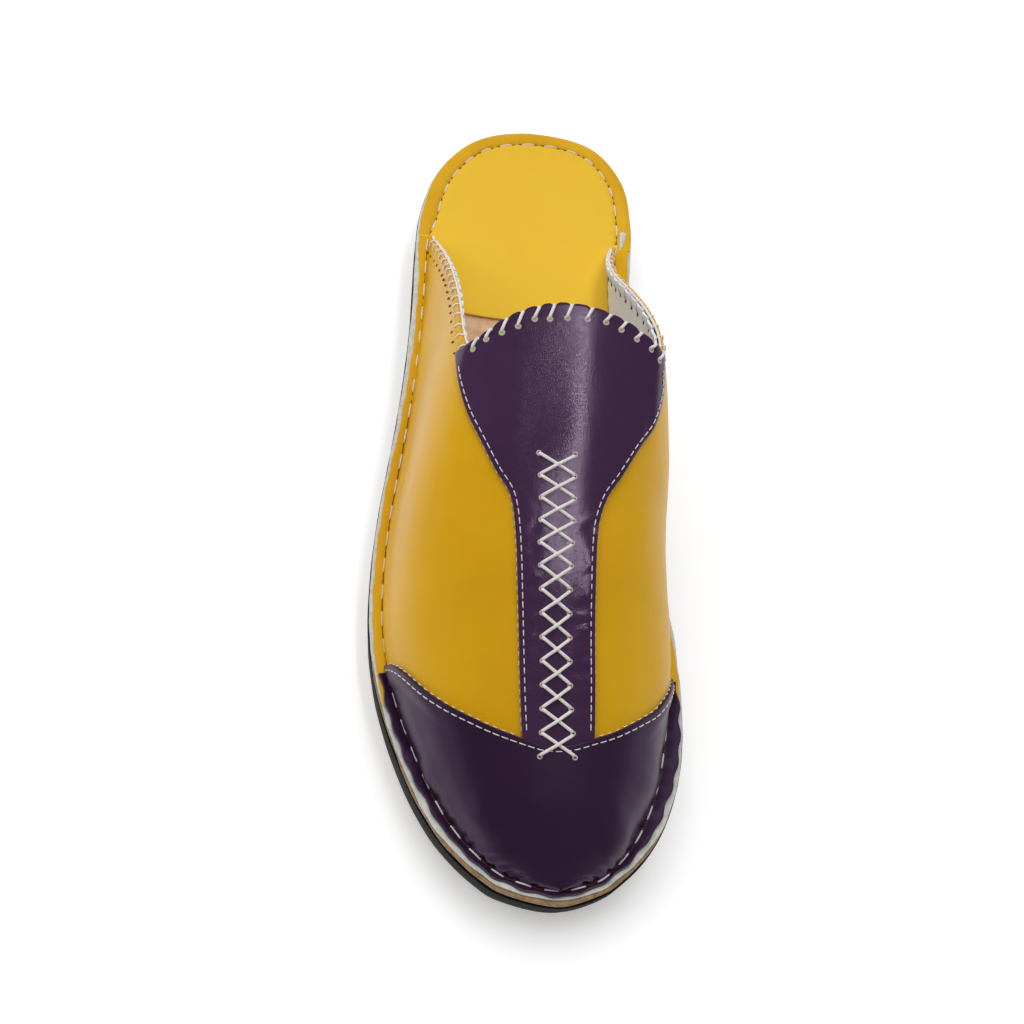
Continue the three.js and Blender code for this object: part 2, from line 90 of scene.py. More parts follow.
# share of the length, outer and inner edge as shares of the ball width
stripRows = [
    (0.405, -0.287, 0.364), (0.455, -0.285, 0.362), (0.49, -0.275, 0.358), (0.527, -0.247, 0.328),
    (0.556, -0.209, 0.276), (0.59, -0.158, 0.218), (0.613, -0.116, 0.176), (0.645, -0.097, 0.15),
    (0.714, -0.081, 0.148), (0.81, -0.06, 0.161), (0.88, -0.04, 0.166),
]
# share of the ball width, share of the cap seam's bow
capRows = [
    (-0.62, 1.5), (-0.47, 1.2), (-0.435, 0.99), (-0.357, 0.67), (-0.28, 0.455), (-0.186, 0.27),
    (-0.11, 0.147), (0, 0.02), (0.045, 0), (0.1, 0.02), (0.158, 0.086), (0.227, 0.18), (0.317, 0.37),
    (0.368, 0.525), (0.43, 0.88), (0.47, 1.42), (0.62, 1.9),
]
# height as a share of the heel's, share of the tuck under
tuckRows = [(-0.15, 1.3), (0, 1), (0.12, 0.62), (0.3, 0.3), (0.55, 0.1), (0.85, 0), (1.5, 0)]


def follow(rows, place, column=1):
    keys = [row[0] for row in rows]
    place = min(max(place, keys[0]), keys[-1])
    index = min(max(bisect.bisect_left(keys, place), 1), len(rows) - 1)

    def slope(at):
        before, after = rows[max(at - 1, 0)], rows[min(at + 1, len(rows) - 1)]
        return (after[column] - before[column]) / (after[0] - before[0])

    start, end = rows[index - 1], rows[index]
    span = end[0] - start[0]
    part = (place - start[0]) / span
    return (
        (2 * part**3 - 3 * part**2 + 1) * start[column]
        + (part**3 - 2 * part**2 + part) * span * slope(index - 1)
        + (3 * part**2 - 2 * part**3) * end[column] + (part**3 - part**2) * span * slope(index)
    )


def ease(part):
    part = min(max(part, 0), 1)
    return part * part * (3 - 2 * part)


def mix(low, high, part):
    return low + (high - low) * part


def bump(place, middle, width):  # a soft hump, 1 in the middle and 0 one width away
    return math.exp(-((place - middle) / width) ** 2 * 2.5)


def spring(reach):
    return shoe["toeSpring"] * max(0, (reach / shoe["length"] - 0.66) / 0.34) ** 2


def forward(reach):
    return ease((reach / shoe["length"] - 0.21) / 0.43)


def deck(reach):  # top of the black band
    return mix(shoe["heelHeight"], shoe["ballHeight"], forward(reach)) + spring(reach)


def boardTop(reach):
    return deck(reach) + shoe["fit"] + shoe["board"]


def flangeTop(reach):
    return boardTop(reach) + shoe["fit"] + shoe["leather"]


def treadLow(reach):  # underside of the grey band
    return spring(reach) + shoe["outsole"] + shoe["fit"]


def treadTop(reach):
    return treadLow(reach) + mix(shoe["treadHeel"], shoe["treadBall"], forward(reach))


# the sole's outline, from the back of the heel up the outer side, round the toe and back
def soleOutline(steps=30):
    width, length = shoe["ballWidth"], shoe["length"]
    outer = [(-row[1] * width, row[0] * length) for row in outlineRows]
    inner = [(row[2] * width, row[0] * length) for row in reversed(outlineRows)]
    knots = [(shoe["heelMiddle"] * width, 0)] + outer + [(shoe["toeMiddle"] * width, length)] + inner
    points = []
    for index in range(len(knots)):
        p = [Vector(knots[(index + step) % len(knots)]) for step in (-1, 0, 1, 2)]
        d = [math.sqrt((p[step + 1] - p[step]).length) for step in range(3)]
        a = ((p[1] - p[0]) / d[0] - (p[2] - p[0]) / (d[0] + d[1]) + (p[2] - p[1]) / d[1]) * d[1]
        b = ((p[2] - p[1]) / d[1] - (p[3] - p[1]) / (d[1] + d[2]) + (p[3] - p[2]) / d[2]) * d[1]
        for step in range(steps):
            t = step / steps
            points.append(
                p[1] + a * t + (p[2] * 3 - p[1] * 3 - a * 2 - b) * t**2 + (p[1] * 2 - p[2] * 2 + a + b) * t**3
            )
    return points


outline = soleOutline()
outlineCount = len(outline)
inward = []
for index, point in enumerate(outline):
    run = outline[(index + 1) % outlineCount] - outline[index - 1]
    inward.append(Vector((run.y, -run.x)).normalized())


def rimPoint(place, inset):  # place counts outline points, and may be a fraction
    index = math.floor(place)
    part = place - index
    a, b = index % outlineCount, (index + 1) % outlineCount
    return outline[a].lerp(outline[b], part) + inward[a].lerp(inward[b], part) * inset


lengths = [0.0]
for index in range(outlineCount):
    lengths.append(lengths[-1] + (outline[(index + 1) % outlineCount] - outline[index]).length)


def placeAt(share):  # the place on the outline after a share of its way round
    target = (share % 1) * lengths[-1]
    index = min(max(bisect.bisect_right(lengths, target) - 1, 0), outlineCount - 1)
    return index + (target - lengths[index]) / (lengths[index + 1] - lengths[index])


def shareOf(place):
    index = math.floor(place)
    a = index % outlineCount
    return mix(lengths[a], lengths[a + 1], place - index) / lengths[-1]


# slot is the radius of the dark cords of painted shade that lie in the groove between the stitches
rimStitch = {"count": 70, "share": 0.58, "radius": 0.27, "heelInset": 5.6, "fromFoot": 0.42, "slot": 0.14}


def nearHole(place):  # 1 where the rim's cord goes down through the leather
    phase = (shareOf(place) * rimStitch["count"]) % 1
    return max(bump(phase, 0, 0.16), bump(phase, 1, 0.16), bump(phase, rimStitch["share"], 0.16))


def flangeAt(point):
    middle = mix(shoe["heelMiddle"], shoe["toeMiddle"], point.y / shoe["length"]) * shoe["ballWidth"]
    rows = wallRows[-1 if point.x < middle else 1]
    return shoe["flange"] * follow(rows, point.y / (shoe["length"] - shoe["flange"]), 4)


flangeWidths = [flangeAt(point) for point in outline]


# share of the length, how much further in the rim's stitches draw the leather's foot, and the wall above it
drawRows = {
    -1: [
        (0, 0, 0), (0.22, 0, 0), (0.36, 0.3, 0.8), (0.5, 0.5, 1.7), (0.62, 0.6, 1.9), (0.78, 0.9, 1.8),
        (0.9, 1.2, 1.5), (0.96, 0.9, 1), (1, 0.6, 0.8),
    ],
    1: [
        (0, 0, 0), (0.25, 0, 0), (0.75, 0.2, 0.2), (0.84, -0.5, -0.3), (0.9, -1.2, -0.8), (0.95, -0.4, -0.2),
        (1, 0.6, 0.8),
    ],
}


def drawIn(point, column=1):
    middle = mix(shoe["heelMiddle"], shoe["toeMiddle"], point.y / shoe["length"]) * shoe["ballWidth"]
    return follow(drawRows[-1 if point.x < middle else 1], point.y / shoe["length"], column)


def nearFoot(rise):  # 1 low on the wall, and 0 high up
    return 1 - ease((rise - 10) / 30)


def offCrest(step):  # 1 low on the arch, and 0 towards the crest
    return 1 - ease((step - 0.25) / 0.4)


def drawnWall(rim, rise):
    return mix(drawIn(rim), drawIn(rim, 2), ease(rise / 8)) * nearFoot(rise)


# the last, grown outwards by some millimetres: its foot line on each side, by reach
def lastOf(grow):
    foot = [outline[index] + inward[index] * (flangeWidths[index] - grow) for index in range(outlineCount)]
    tip = max(range(outlineCount), key=lambda index: foot[index].y)
    sides = {}
    for side, places in ((-1, range(0, tip + 1)), (1, range(outlineCount, tip - 1, -1))):
        rows = []
        for place in places:
            point = foot[place % outlineCount]
            if not rows or point.y > rows[-1][0]:
                rows.append((point.y, point.x, place))
        sides[side] = ([row[0] for row in rows], rows)
    return {"grow": grow, "tip": foot[tip].y - 0.05, "tipPoint": foot[tip], "tipPlace": tip, "sides": sides}


def footAt(last, side, reach):  # x of the foot line, and its place on the outline
    keys, rows = last["sides"][side]
    index = min(max(bisect.bisect_left(keys, reach), 1), len(rows) - 1)
    low, high = rows[index - 1], rows[index]
    part = min(max((reach - low[0]) / (high[0] - low[0]), 0), 1)
    return mix(low[1], high[1], part), mix(low[2], high[2], part)


def lastPoint(last, side, step, reach):  # step runs from 0 at the foot to 1 at the crest
    share = reach / last["tip"]
    width = shoe["ballWidth"]
    crest = width * follow(crestRows, share, 2)
    rise = shoe["instep"] * follow(crestRows, share) + last["grow"]
    rows = wallRows[side]
    full = follow(rows, share, 1)
    lift, rest = step ** (full / 2), (1 - step) ** (full / 2)
    turn = math.pi / 2 * lift / (lift + rest)
    up = math.sin(turn) ** (2 / full)
    half = abs(footAt(last, side, reach)[0] - crest)
    half += width * (follow(rows, share, 2) * up + follow(rows, share, 3) * math.sin(math.pi * math.sqrt(up)))
    x = crest + side * half * max(math.cos(turn), 0) ** (2 / full)
    return Vector((x, reach, flangeTop(reach) + rise * up))


def rowPoint(x, reach, z):  # from reach and height in millimetres to the row frame in metres
    return Vector((x + shoe["shift"], shoe["length"] / 2 - reach, z)) / 1000


outerLast = lastOf(0)


def wingHeight(reach):
    corner = shoe["throat"] + shoe["throatBow"]
    part = (reach - shoe["wingStart"]) / (corner - shoe["wingStart"])
    return flangeTop(shoe["wingStart"]) + shoe["instep"] * follow(wingRows, part)


def tongueReach(x):
    return shoe["throat"] + shoe["throatBow"] * follow(throatRows, x / shoe["ballWidth"])


def seamReach(x):
    return shoe["length"] - shoe["capReach"] - shoe["capBow"] * follow(capRows, x / shoe["ballWidth"])


def firstReach(inside, low, high, steps=90):  # walks back from high while a point is inside, then halves
    place = high
    while place > low and inside(place):
        place -= (high - low) / steps
    if place <= low:
        return low
    good, bad = place + (high - low) / steps, place
    for _ in range(14):
        middle = (good + bad) / 2
        good, bad = (middle, bad) if inside(middle) else (good, middle)
    return good


def collarStart(side, step):
    def kept(reach):
        point = lastPoint(outerLast, side, step, reach)
        return point.z <= wingHeight(reach) or reach >= tongueReach(point.x)

    return firstReach(kept, shoe["wingStart"], 140)


def seamStart(side, step, lap=0):
    def ahead(reach):
        return reach >= seamReach(lastPoint(outerLast, side, step, reach).x) - lap

    return firstReach(ahead, 150, outerLast["tip"] - 0.5)


print("last measured")

# Shared mesh and material helpers


def newPiece(name, bm, material, slotName, smooth=True):
    mesh = bpy.data.meshes.new(name)
    bm.to_mesh(mesh)
    bm.free()
    for polygon in mesh.polygons:
        polygon.use_smooth = smooth
    piece = bpy.data.objects.new(name, mesh)
    bpy.context.scene.collection.objects.link(piece)
    mesh.materials.append(material)
    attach(piece, "root")
    return piece


def gridOf(rows, columns, pointAt):
    bm = bmesh.new()
    bmesh.ops.create_grid(bm, x_segments=columns, y_segments=rows, size=0.5)
    bm.verts.ensure_lookup_table()
    for vert in bm.verts:
        column, row = round((vert.co.x + 0.5) * columns), round((vert.co.y + 0.5) * rows)
        vert.co = pointAt(row, column)
    return bm


def orient(bm, want=Vector((0, 0, 1))):  # turns a sheet over if most of it faces the other way
    bm.normal_update()
    if sum(face.normal.dot(want) * face.calc_area() for face in bm.faces) < 0:
        bmesh.ops.reverse_faces(bm, faces=bm.faces[:])
        bm.normal_update()


def material(name):
    made = bpy.data.materials.new(name)
    made.use_nodes = True
    return made, made.node_tree.nodes, made.node_tree.links


def node(nodes, kind, values=None, **settings):
    made = nodes.new(kind)
    for key, value in settings.items():
        setattr(made, key, value)
    for key, value in (values or {}).items():
        made.inputs[key].default_value = value
    return made


def rgba(text):  # a colour as the eye reads it, turned linear
    made = []
    for at in (0, 2, 4):
        part = int(text[at:at + 2], 16) / 255
        made.append(part / 12.92 if part <= 0.04045 else ((part + 0.055) / 1.055) ** 2.4)
    return (*made, 1)


# Leather: a base colour that drifts, fine grain cells and a few wider wrinkles, as one node group
def leatherGroup():
    group = bpy.data.node_groups.new("leatherSurface", "ShaderNodeTree")
    for name, kind in (
        ("Light", "Color"), ("Dark", "Color"), ("Drift Scale", "Float"), ("Grain Scale", "Float"),
        ("Grain Depth", "Float"), ("Wrinkle Depth", "Float"), ("Gloss", "Float"),
    ):
        group.interface.new_socket(name, in_out="INPUT", socket_type="NodeSocket" + kind)
    for name, kind in (("Colour", "Color"), ("Roughness", "Float"), ("Normal", "Vector")):
        group.interface.new_socket(name, in_out="OUTPUT", socket_type="NodeSocket" + kind)
    nodes, links = group.nodes, group.links
    given, out = nodes.new("NodeGroupInput"), nodes.new("NodeGroupOutput")
    place = nodes.new("ShaderNodeTexCoord")
    drift = node(nodes, "ShaderNodeTexNoise", {"Detail": 4, "Roughness": 0.55})
    grain = node(nodes, "ShaderNodeTexVoronoi", {"Randomness": 1}, feature="DISTANCE_TO_EDGE")
    fine = node(nodes, "ShaderNodeTexNoise", {"Scale": 900, "Detail": 3})
    wrinkle = node(nodes, "ShaderNodeTexNoise", {"Scale": 120, "Detail": 5, "Roughness": 0.6})
    wrinkle.inputs["Distortion"].default_value = 0.6
    for texture in (drift, grain, fine, wrinkle):
        links.new(place.outputs["Object"], texture.inputs["Vector"])
    links.new(given.outputs["Drift Scale"], drift.inputs["Scale"])
    links.new(given.outputs["Grain Scale"], grain.inputs["Scale"])
    tone = node(nodes, "ShaderNodeMapRange", {"From Min": 0.3, "From Max": 0.7})
    links.new(drift.outputs[0], tone.inputs["Value"])
    colour = node(nodes, "ShaderNodeMix", data_type="RGBA")
    links.new(tone.outputs[0], colour.inputs["Factor"])
    links.new(given.outputs["Dark"], colour.inputs["A"])
    links.new(given.outputs["Light"], colour.inputs["B"])
    links.new(colour.outputs["Result"], out.inputs["Colour"])
    rough = node(nodes, "ShaderNodeMath", operation="MULTIPLY_ADD")
    rough.inputs[1].default_value = 0.16
    links.new(fine.outputs[0], rough.inputs[0])
    links.new(given.outputs["Gloss"], rough.inputs[2])
    links.new(rough.outputs[0], out.inputs["Roughness"])
    cells = node(nodes, "ShaderNodeMapRange", {"From Max": 0.4}, interpolation_type="SMOOTHSTEP")
    links.new(grain.outputs["Distance"], cells.inputs["Value"])
    first = node(nodes, "ShaderNodeBump", {"Distance": 0.00008})
    links.new(given.outputs["Grain Depth"], first.inputs["Strength"])
    links.new(cells.outputs[0], first.inputs["Height"])
    second = node(nodes, "ShaderNodeBump", {"Distance": 0.0006})
    links.new(given.outputs["Wrinkle Depth"], second.inputs["Strength"])
    links.new(wrinkle.outputs[0], second.inputs["Height"])
    links.new(first.outputs[0], second.inputs["Normal"])
    links.new(second.outputs[0], out.inputs["Normal"])
    return group


leatherNodes = leatherGroup()


def leather(name, light, dark, values, glint, coat=0.0, specular=0.5):  # glint tints the light it throws back
    made, nodes, links = material(name)
    shader = nodes["Principled BSDF"]
    surface = nodes.new("ShaderNodeGroup")
    surface.node_tree = leatherNodes
    surface.inputs["Light"].default_value = rgba(light)
    surface.inputs["Dark"].default_value = rgba(dark)
    for key, value in values.items():
        surface.inputs[key].default_value = value
    links.new(surface.outputs["Colour"], shader.inputs["Base Color"])
    links.new(surface.outputs["Roughness"], shader.inputs["Roughness"])
    links.new(surface.outputs["Normal"], shader.inputs["Normal"])
    shader.inputs["Coat Weight"].default_value = coat
    shader.inputs["Coat Roughness"].default_value = 0.3
    shader.inputs["Specular IOR Level"].default_value = specular
    shader.inputs["Specular Tint"].default_value = rgba(glint)
    return made


def plainSurface(name, light, dark, scale, roughness, depth, distance=0.0003, specular=0.4):
    made, nodes, links = material(name)
    shader = nodes["Principled BSDF"]
    place = nodes.new("ShaderNodeTexCoord")
    speck = node(nodes, "ShaderNodeTexNoise", {"Scale": scale, "Detail": 6, "Roughness": 0.65})
    links.new(place.outputs["Object"], speck.inputs["Vector"])
    tone = node(nodes, "ShaderNodeMapRange", {"From Min": 0.32, "From Max": 0.68})
    links.new(speck.outputs[0], tone.inputs["Value"])
    colour = node(nodes, "ShaderNodeMix", data_type="RGBA")
    colour.inputs["A"].default_value = rgba(dark)
    colour.inputs["B"].default_value = rgba(light)
    links.new(tone.outputs[0], colour.inputs["Factor"])
    links.new(colour.outputs["Result"], shader.inputs["Base Color"])
    raised = node(nodes, "ShaderNodeBump", {"Strength": depth, "Distance": distance})
    links.new(speck.outputs[0], raised.inputs["Height"])
    links.new(raised.outputs[0], shader.inputs["Normal"])
    shader.inputs["Roughness"].default_value = roughness
    shader.inputs["Specular IOR Level"].default_value = specular
    return made


def hideValues(drift, grain, depth, wrinkle, gloss):
    return {
        "Drift Scale": drift, "Grain Scale": grain, "Grain Depth": depth, "Wrinkle Depth": wrinkle,
        "Gloss": gloss,
    }


yellowLeather = leather(
    "yellowLeather", "DBA814", "CE9A0E", hideValues(16, 1500, 0.25, 0.12, 0.34), "FFD98A", coat=0.06,
)
sockLeather = leather("sockLeather", "EBBF38", "E4B52E", hideValues(14, 1300, 0.25, 0.18, 0.46), "FFE6AA")
rimLeather = leather("rimLeather", "E0AE26", "D09A1A", hideValues(40, 1300, 0.25, 0.22, 0.4), "FFD98A")
purpleLeather = leather(
    "purpleLeather", "432A48", "3A233F", hideValues(22, 1500, 0.12, 0.03, 0.08), "F4DCFA", specular=0.6,
)
# the cap's purple is the strip's leather painted darker: painted shade for the lesser light on the toe, with
# a smoother finish of its own
capLeatherShaded = leather("capLeatherShaded", "301B35", "28152D", hideValues(22, 1500, 0.08, 0.04, 0.28), "EACDF4")
liningLeather = leather("liningLeather", "E8F0F4", "DAE3E7", hideValues(30, 900, 0.2, 0.25, 0.6), "FFFFFF")
bareLeather = plainSurface("bareLeather", "E2BF9C", "C99C78", 260, 0.8, 0.35)
tanRubber = plainSurface("tanRubber", "C89B6C", "A87B50", 420, 0.8, 0.4)
blackFoam = plainSurface("blackFoam", "0F1313", "070A0A", 900, 0.75, 0.35, specular=0.15)
greyFoam = plainSurface("greyFoam", "2E3634", "222827", 900, 0.75, 0.35, specular=0.2)
darkUnder = plainSurface("darkUnder", "4A3A2C", "33281F", 300, 0.85, 0.4)
cordYarn = plainSurface("cordYarn", "F0EBE8", "D6CFCA", 1500, 0.65, 0.5)
threadYarn = plainSurface("threadYarn", "E9E6E2", "CDC6C2", 2500, 0.6, 0.4)
ringWorn = plainSurface("ringWorn", "C9C1B8", "9A928A", 1500, 0.6, 0.4)
# the middles of punched holes: the leather under the hole, darkened with painted shade
holeShadeOlive = plainSurface("holeShadeOlive", "5B5A48", "3A3A30", 1200, 0.8, 0.3)
holeShadeYellow = plainSurface("holeShadeYellow", "C9A23A", "7E6A2C", 1200, 0.7, 0.3)
# painted shade: the dark of the wings' needle holes
holeShadeDark = plainSurface("holeShadeDark", "7D6734", "4A3A1C", 1200, 0.9, 0.2)
# painted shade: the dark brown of the shadow in the rim's groove between the stitches
grooveShadePainted = plainSurface("grooveShadePainted", "7A4E16", "3A260E", 700, 0.9, 0.2)
liningWorn = plainSurface("liningWorn", "D9D8CF", "B4B8B6", 500, 0.7, 0.3)
boardEdge = plainSurface("boardEdge", "B4906A", "80644A", 500, 0.85, 0.4)
print("materials made")

# Surfaces of the last


def stepAt(last, side, x, reach):  # how far up the arch a point of the plan lies, coming down from the crest
    crest = shoe["ballWidth"] * follow(crestRows, reach / last["tip"], 2)
    target = abs(x - crest)
    high, low = 1.0, 1.0
    while low > 0.1:
        low -= 0.05
        if abs(lastPoint(last, side, low, reach).x - crest) >= target:
            break
        high = low
    for _ in range(9):
        middle = (high + low) / 2
        if abs(lastPoint(last, side, middle, reach).x - crest) >= target:
            low = middle
        else:
            high = middle
    return (high + low) / 2


def sideOf(last, x, reach):
    return -1 if x < shoe["ballWidth"] * follow(crestRows, reach / last["tip"], 2) else 1


def normalAt(last, side, step, reach):
    low, high = max(step - 0.01, 0.001), min(step + 0.01, 1)
    up = lastPoint(last, side, high, reach) - lastPoint(last, side, low, reach)
    along = lastPoint(last, side, step, reach + 0.5) - lastPoint(last, side, step, reach - 0.5)
    normal = along.cross(up) * side
    if normal.length < 1e-6:
        return Vector((0, 0, 1))
    normal.normalize()
    return normal if normal.z > -0.3 or step < 0.3 else -normal


def onLast(last, x, reach):  # the point of the skin over a place of the plan, and its normal
    side = sideOf(last, x, reach)
    step = stepAt(last, side, x, reach)
    return lastPoint(last, side, step, reach), normalAt(last, side, step, reach)


def wingPoint(last, side, reach, below=0.0):  # on a wing, some millimetres under its top line
    target = wingHeight(reach) - below
    low, high = 0.0, 1.0
    for _ in range(16):
        middle = (low + high) / 2
        if lastPoint(last, side, middle, reach).z < target:
            low = middle
        else:
            high = middle
    return lastPoint(last, side, low, reach), normalAt(last, side, low, reach)


def thicken(piece, depth, cut):  # a wall under the sheet, and a rounded cut edge
    wall = piece.modifiers.new("wall", "SOLIDIFY")
    wall.thickness, wall.offset = depth / 1000, -1
    edge = piece.modifiers.new("cutEdge", "BEVEL")
    edge.width, edge.segments = cut / 1000, 2
    edge.limit_method, edge.angle_limit = "ANGLE", math.radians(55)


# Skins: one sheet from the flange's edge on the outer side, over the arch, to the flange's edge on the other
skin = {
    "flangeColumns": 7, "wallColumns": 92, "fillet": 0.35, "wallPower": 1.35, "hollowRise": 9, "cut": 0.22,
}


def skinPiece(name, look, startAt, endAt, edgeInset, finish, detail):
    last, rows, flat = look["last"], look["rows"], skin["flangeColumns"]
    steps = [(column / skin["wallColumns"]) ** skin["wallPower"] for column in range(skin["wallColumns"] + 1)]
    starts = {side: [startAt(side, step) for step in steps] for side in (-1, 1)}
    ends = {side: [endAt(side, step) if endAt else last["tip"] for step in steps] for side in (-1, 1)}
    for rowEnds in (starts, ends):
        rowEnds[-1][-1] = rowEnds[1][-1] = (rowEnds[-1][-1] + rowEnds[1][-1]) / 2
    count = 2 * (flat + skin["wallColumns"])

    def reachOf(side, index, row):
        part = row / rows if endAt else math.sin(math.pi / 2 * row / rows)
        return mix(starts[side][index], ends[side][index], part)

    def settle(side, reach):  # 0 at the start's cut edge, 1 where the sheet lies on what is under it
        return ease((reach - starts[side][0]) / 7)

    def placeOf(side, reach, row):
        return last["tipPlace"] if row == rows and not endAt else footAt(last, side, reach)[1]

    def pinch(side, reach, index=0):
        return max(0, last["grow"] - 0.2) * ease((reach - starts[side][index] - 3) / 6)

    def lift(side, reach):
        return mix(look["startLift"], look["lift"], settle(side, reach))

    def flatPoint(side, row, column):  # column 0 is the flange's free edge
        reach = reachOf(side, 0, row)
        place = placeOf(side, reach, row)
        rim = rimPoint(place, 0)
        foot = flangeAt(rim) - last["grow"] - skin["fillet"] + pinch(side, reach) + drawIn(rim)
        part = column / flat
        point = rimPoint(place, mix(min(edgeInset(place, rim), foot - 0.4), foot, part))
        z = flangeTop(point.y) + lift(side, reach)
        z += look["wave"] * (1 - part) * (0.6 + noise.noise(Vector((shareOf(place) * 80, 2.2, look["lift"]))))
        z -= look["dip"] * part**2 * (1 + 1.3 * nearHole(place))
        return Vector((point.x, point.y, z))

    def wallPoint(side, row, index):
        reach = reachOf(side, index, row)
        point = lastPoint(last, side, steps[index], reach)
        place = placeOf(side, reach, row)
        if row == rows and not endAt:
            point.x, point.y = last["tipPoint"]
        rise = max(point.z - flangeTop(reach), 0)
        out = rimPoint(place, -1) - rimPoint(place, 0)
        rim = rimPoint(place, 0)
        shift = -pinch(side, reach, index) * nearFoot(rise) - drawnWall(rim, rise)
        hollow = 0.35 + 0.6 * tipness(rim)
        shift -= hollow * nearHole(place) * max(0, 1 - rise / skin["hollowRise"]) ** 2
        if rise < skin["fillet"]:
            shift += skin["fillet"] - math.sqrt(max(skin["fillet"] ** 2 - (skin["fillet"] - rise) ** 2, 0))
        low = offCrest(steps[index])
        back = (max(0, last["grow"] - 0.2) + 0.8) * ease((reach / last["tip"] - 0.92) / 0.08)
        point.x += out.x * shift * low
        point.y += mix(-back, out.y * shift, low)
        point.z += lift(side, reach) * max(0, 1 - rise / 4)
        point.z -= look["dip"] * max(0, 1 - rise / 2) ** 2 * (1 + 1.3 * nearHole(place))
        return point

    def pointAt(row, column):
        side, index = (-1, column) if column <= count // 2 else (1, count - column)
        if index < flat:
            return rowPoint(*flatPoint(side, row, index))
        return rowPoint(*wallPoint(side, row, index - flat))

    bm = gridOf(rows, count, pointAt)
    bmesh.ops.remove_doubles(bm, verts=bm.verts[:], dist=2e-5)
    orient(bm)
    moves = []
    for vert in bm.verts:
        reach = shoe["length"] / 2 - vert.co.y * 1000
        x = vert.co.x * 1000 - shoe["shift"]
        moves.append((vert, vert.normal * detail(x, reach, vert.co.z * 1000) / 1000))
    for vert, move in moves:
        vert.co += move
    piece = newPiece(name, bm, finish, look["slot"])
    thicken(piece, look["depth"], skin["cut"])
    return piece


# The wings' top lines, measured along, so that puffs, cords and needle holes keep one pitch
wing = {
    "pitch": 5.6, "reachDown": 2.5, "radius": 0.4, "loop": 0.27, "hole": 0.36, "holesUntil": 108,
    "puff": 0.4, "liningPuff": 0.75, "puffReach": 8,
}
wingLines, wingRuns = {}, {}
for side in (-1, 1):
    wingLines[side] = [wingPoint(outerLast, side, shoe["wingStart"] + 1 + step * 0.5) for step in range(152)]
    runs = [0.0]
    for before, after in zip(wingLines[side], wingLines[side][1:]):
        runs.append(runs[-1] + (after[0] - before[0]).length)
    wingRuns[side] = runs


def wingPuff(x, reach, z):  # the leather swells between the cords along a wing's edge
    corner = shoe["throat"] + shoe["throatBow"]
    if reach > corner or reach < shoe["wingStart"] + 1 or wingHeight(reach) - z > wing["puffReach"]:
        return 0.0
    run = wingRuns[-1 if x < 4 else 1][min(int((reach - shoe["wingStart"] - 1) * 2), 151)]
    across = 0.5 - 0.5 * math.cos(2 * math.pi * run / wing["pitch"])
    return across * bump(wingHeight(reach) - z, 1.6, 3.4)


def waver(place, size, pitch, seed):  # a hand-cut edge's drift along the outline
    return size * noise.noise(Vector((shareOf(place) * lengths[-1] / pitch, seed, 0.3)))


def lobe(place, size):  # the free edge swells between two stitches
    return size * math.cos(2 * math.pi * (shareOf(place) * rimStitch["count"] - rimStitch["share"] / 2))


def upperDetail(x, reach, z):
    move = 0.45 * noise.noise(Vector((x * 0.035, reach * 0.03, z * 0.03)))
    move += 0.12 * noise.noise(Vector((x * 0.12, reach * 0.1, z * 0.1)))
    return move + wing["puff"] * wingPuff(x, reach, z)


def liningDetail(x, reach, z):
    move = 0.45 * noise.noise(Vector((x * 0.035, reach * 0.03, z * 0.03)))
    return move - wing["liningPuff"] * wingPuff(x, reach, z)


# the cap's puckers fan out from a point
pucker = {"x": 8, "reach": 225, "start": 228, "top": 19, "size": 1.9, "fine": 0.25}


def capDetail(x, reach, z):
    rise = z - flangeTop(reach) - 0.5
    move = 0.3 * noise.noise(Vector((x * 0.05, reach * 0.05, 4.2)))
    if 0.2 < rise < 20:  # puckers that the rim's stitches draw into the toe
        angle = math.atan2(x - pucker["x"], reach - pucker["reach"])
        pull = ease(rise / 2.5) * max(0, 1 - rise / pucker["top"]) * ease((reach - pucker["start"]) / 18)
        move += pucker["size"] * pull * noise.noise(Vector((angle * 4.2, 1.7, rise * 0.05)))
        move += pucker["fine"] * pull * noise.noise(Vector((angle * 9, 5.1, rise * 0.12)))
    return move


def tipness(rim):
    return ease((rim.y - 235) / 40)


def yellowEdge(place, rim):
    outer = ease((rim.y - 54) / 12) * (1 - ease((rim.y - 110) / 40)) if rim.x < 0 else 0
    return 1.3 + 0.7 * outer + waver(place, 0.35, 9, 3) - lobe(place, 0.1)


def liningEdge(place, rim):
    return 0.4 + 0.25 * ease((rim.y - 195) / 30) + 0.95 * ease((rim.y - 252) / 25) + waver(place, 0.35, 7, 8)


def capEdge(place, rim):
    return 1.9 + 0.95 * tipness(rim) + waver(place, 0.7, 8, 5) - lobe(place, 0.3)


upperLook = {
    "last": outerLast, "rows": 128, "startLift": 0, "lift": 0, "wave": 0.12, "dip": 0.18, "depth": 1.0,
    "slot": "yellow_leather",
}
liningLook = {
    "last": lastOf(-1.02), "rows": 128, "startLift": -0.62, "lift": -0.62, "wave": 0, "dip": 0, "depth": 0.75,
    "slot": "yellow_leather",
}
capLook = {
    "last": lastOf(1.2), "rows": 96, "startLift": 1.15, "lift": 0.55, "wave": 0.4, "dip": 0.3, "depth": 1.15,
    "slot": "purple_leather",
}
capLast = capLook["last"]
upperPiece = skinPiece(
    "upper_leather", upperLook, collarStart, lambda side, step: seamStart(side, step, -6), yellowEdge,
    yellowLeather, upperDetail,
)
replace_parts(upperPiece, "upper")
liningPiece = skinPiece(
    "upper_lining", liningLook, collarStart, None, liningEdge, liningLeather, liningDetail,
)
liningPiece.data.materials.append(liningWorn)
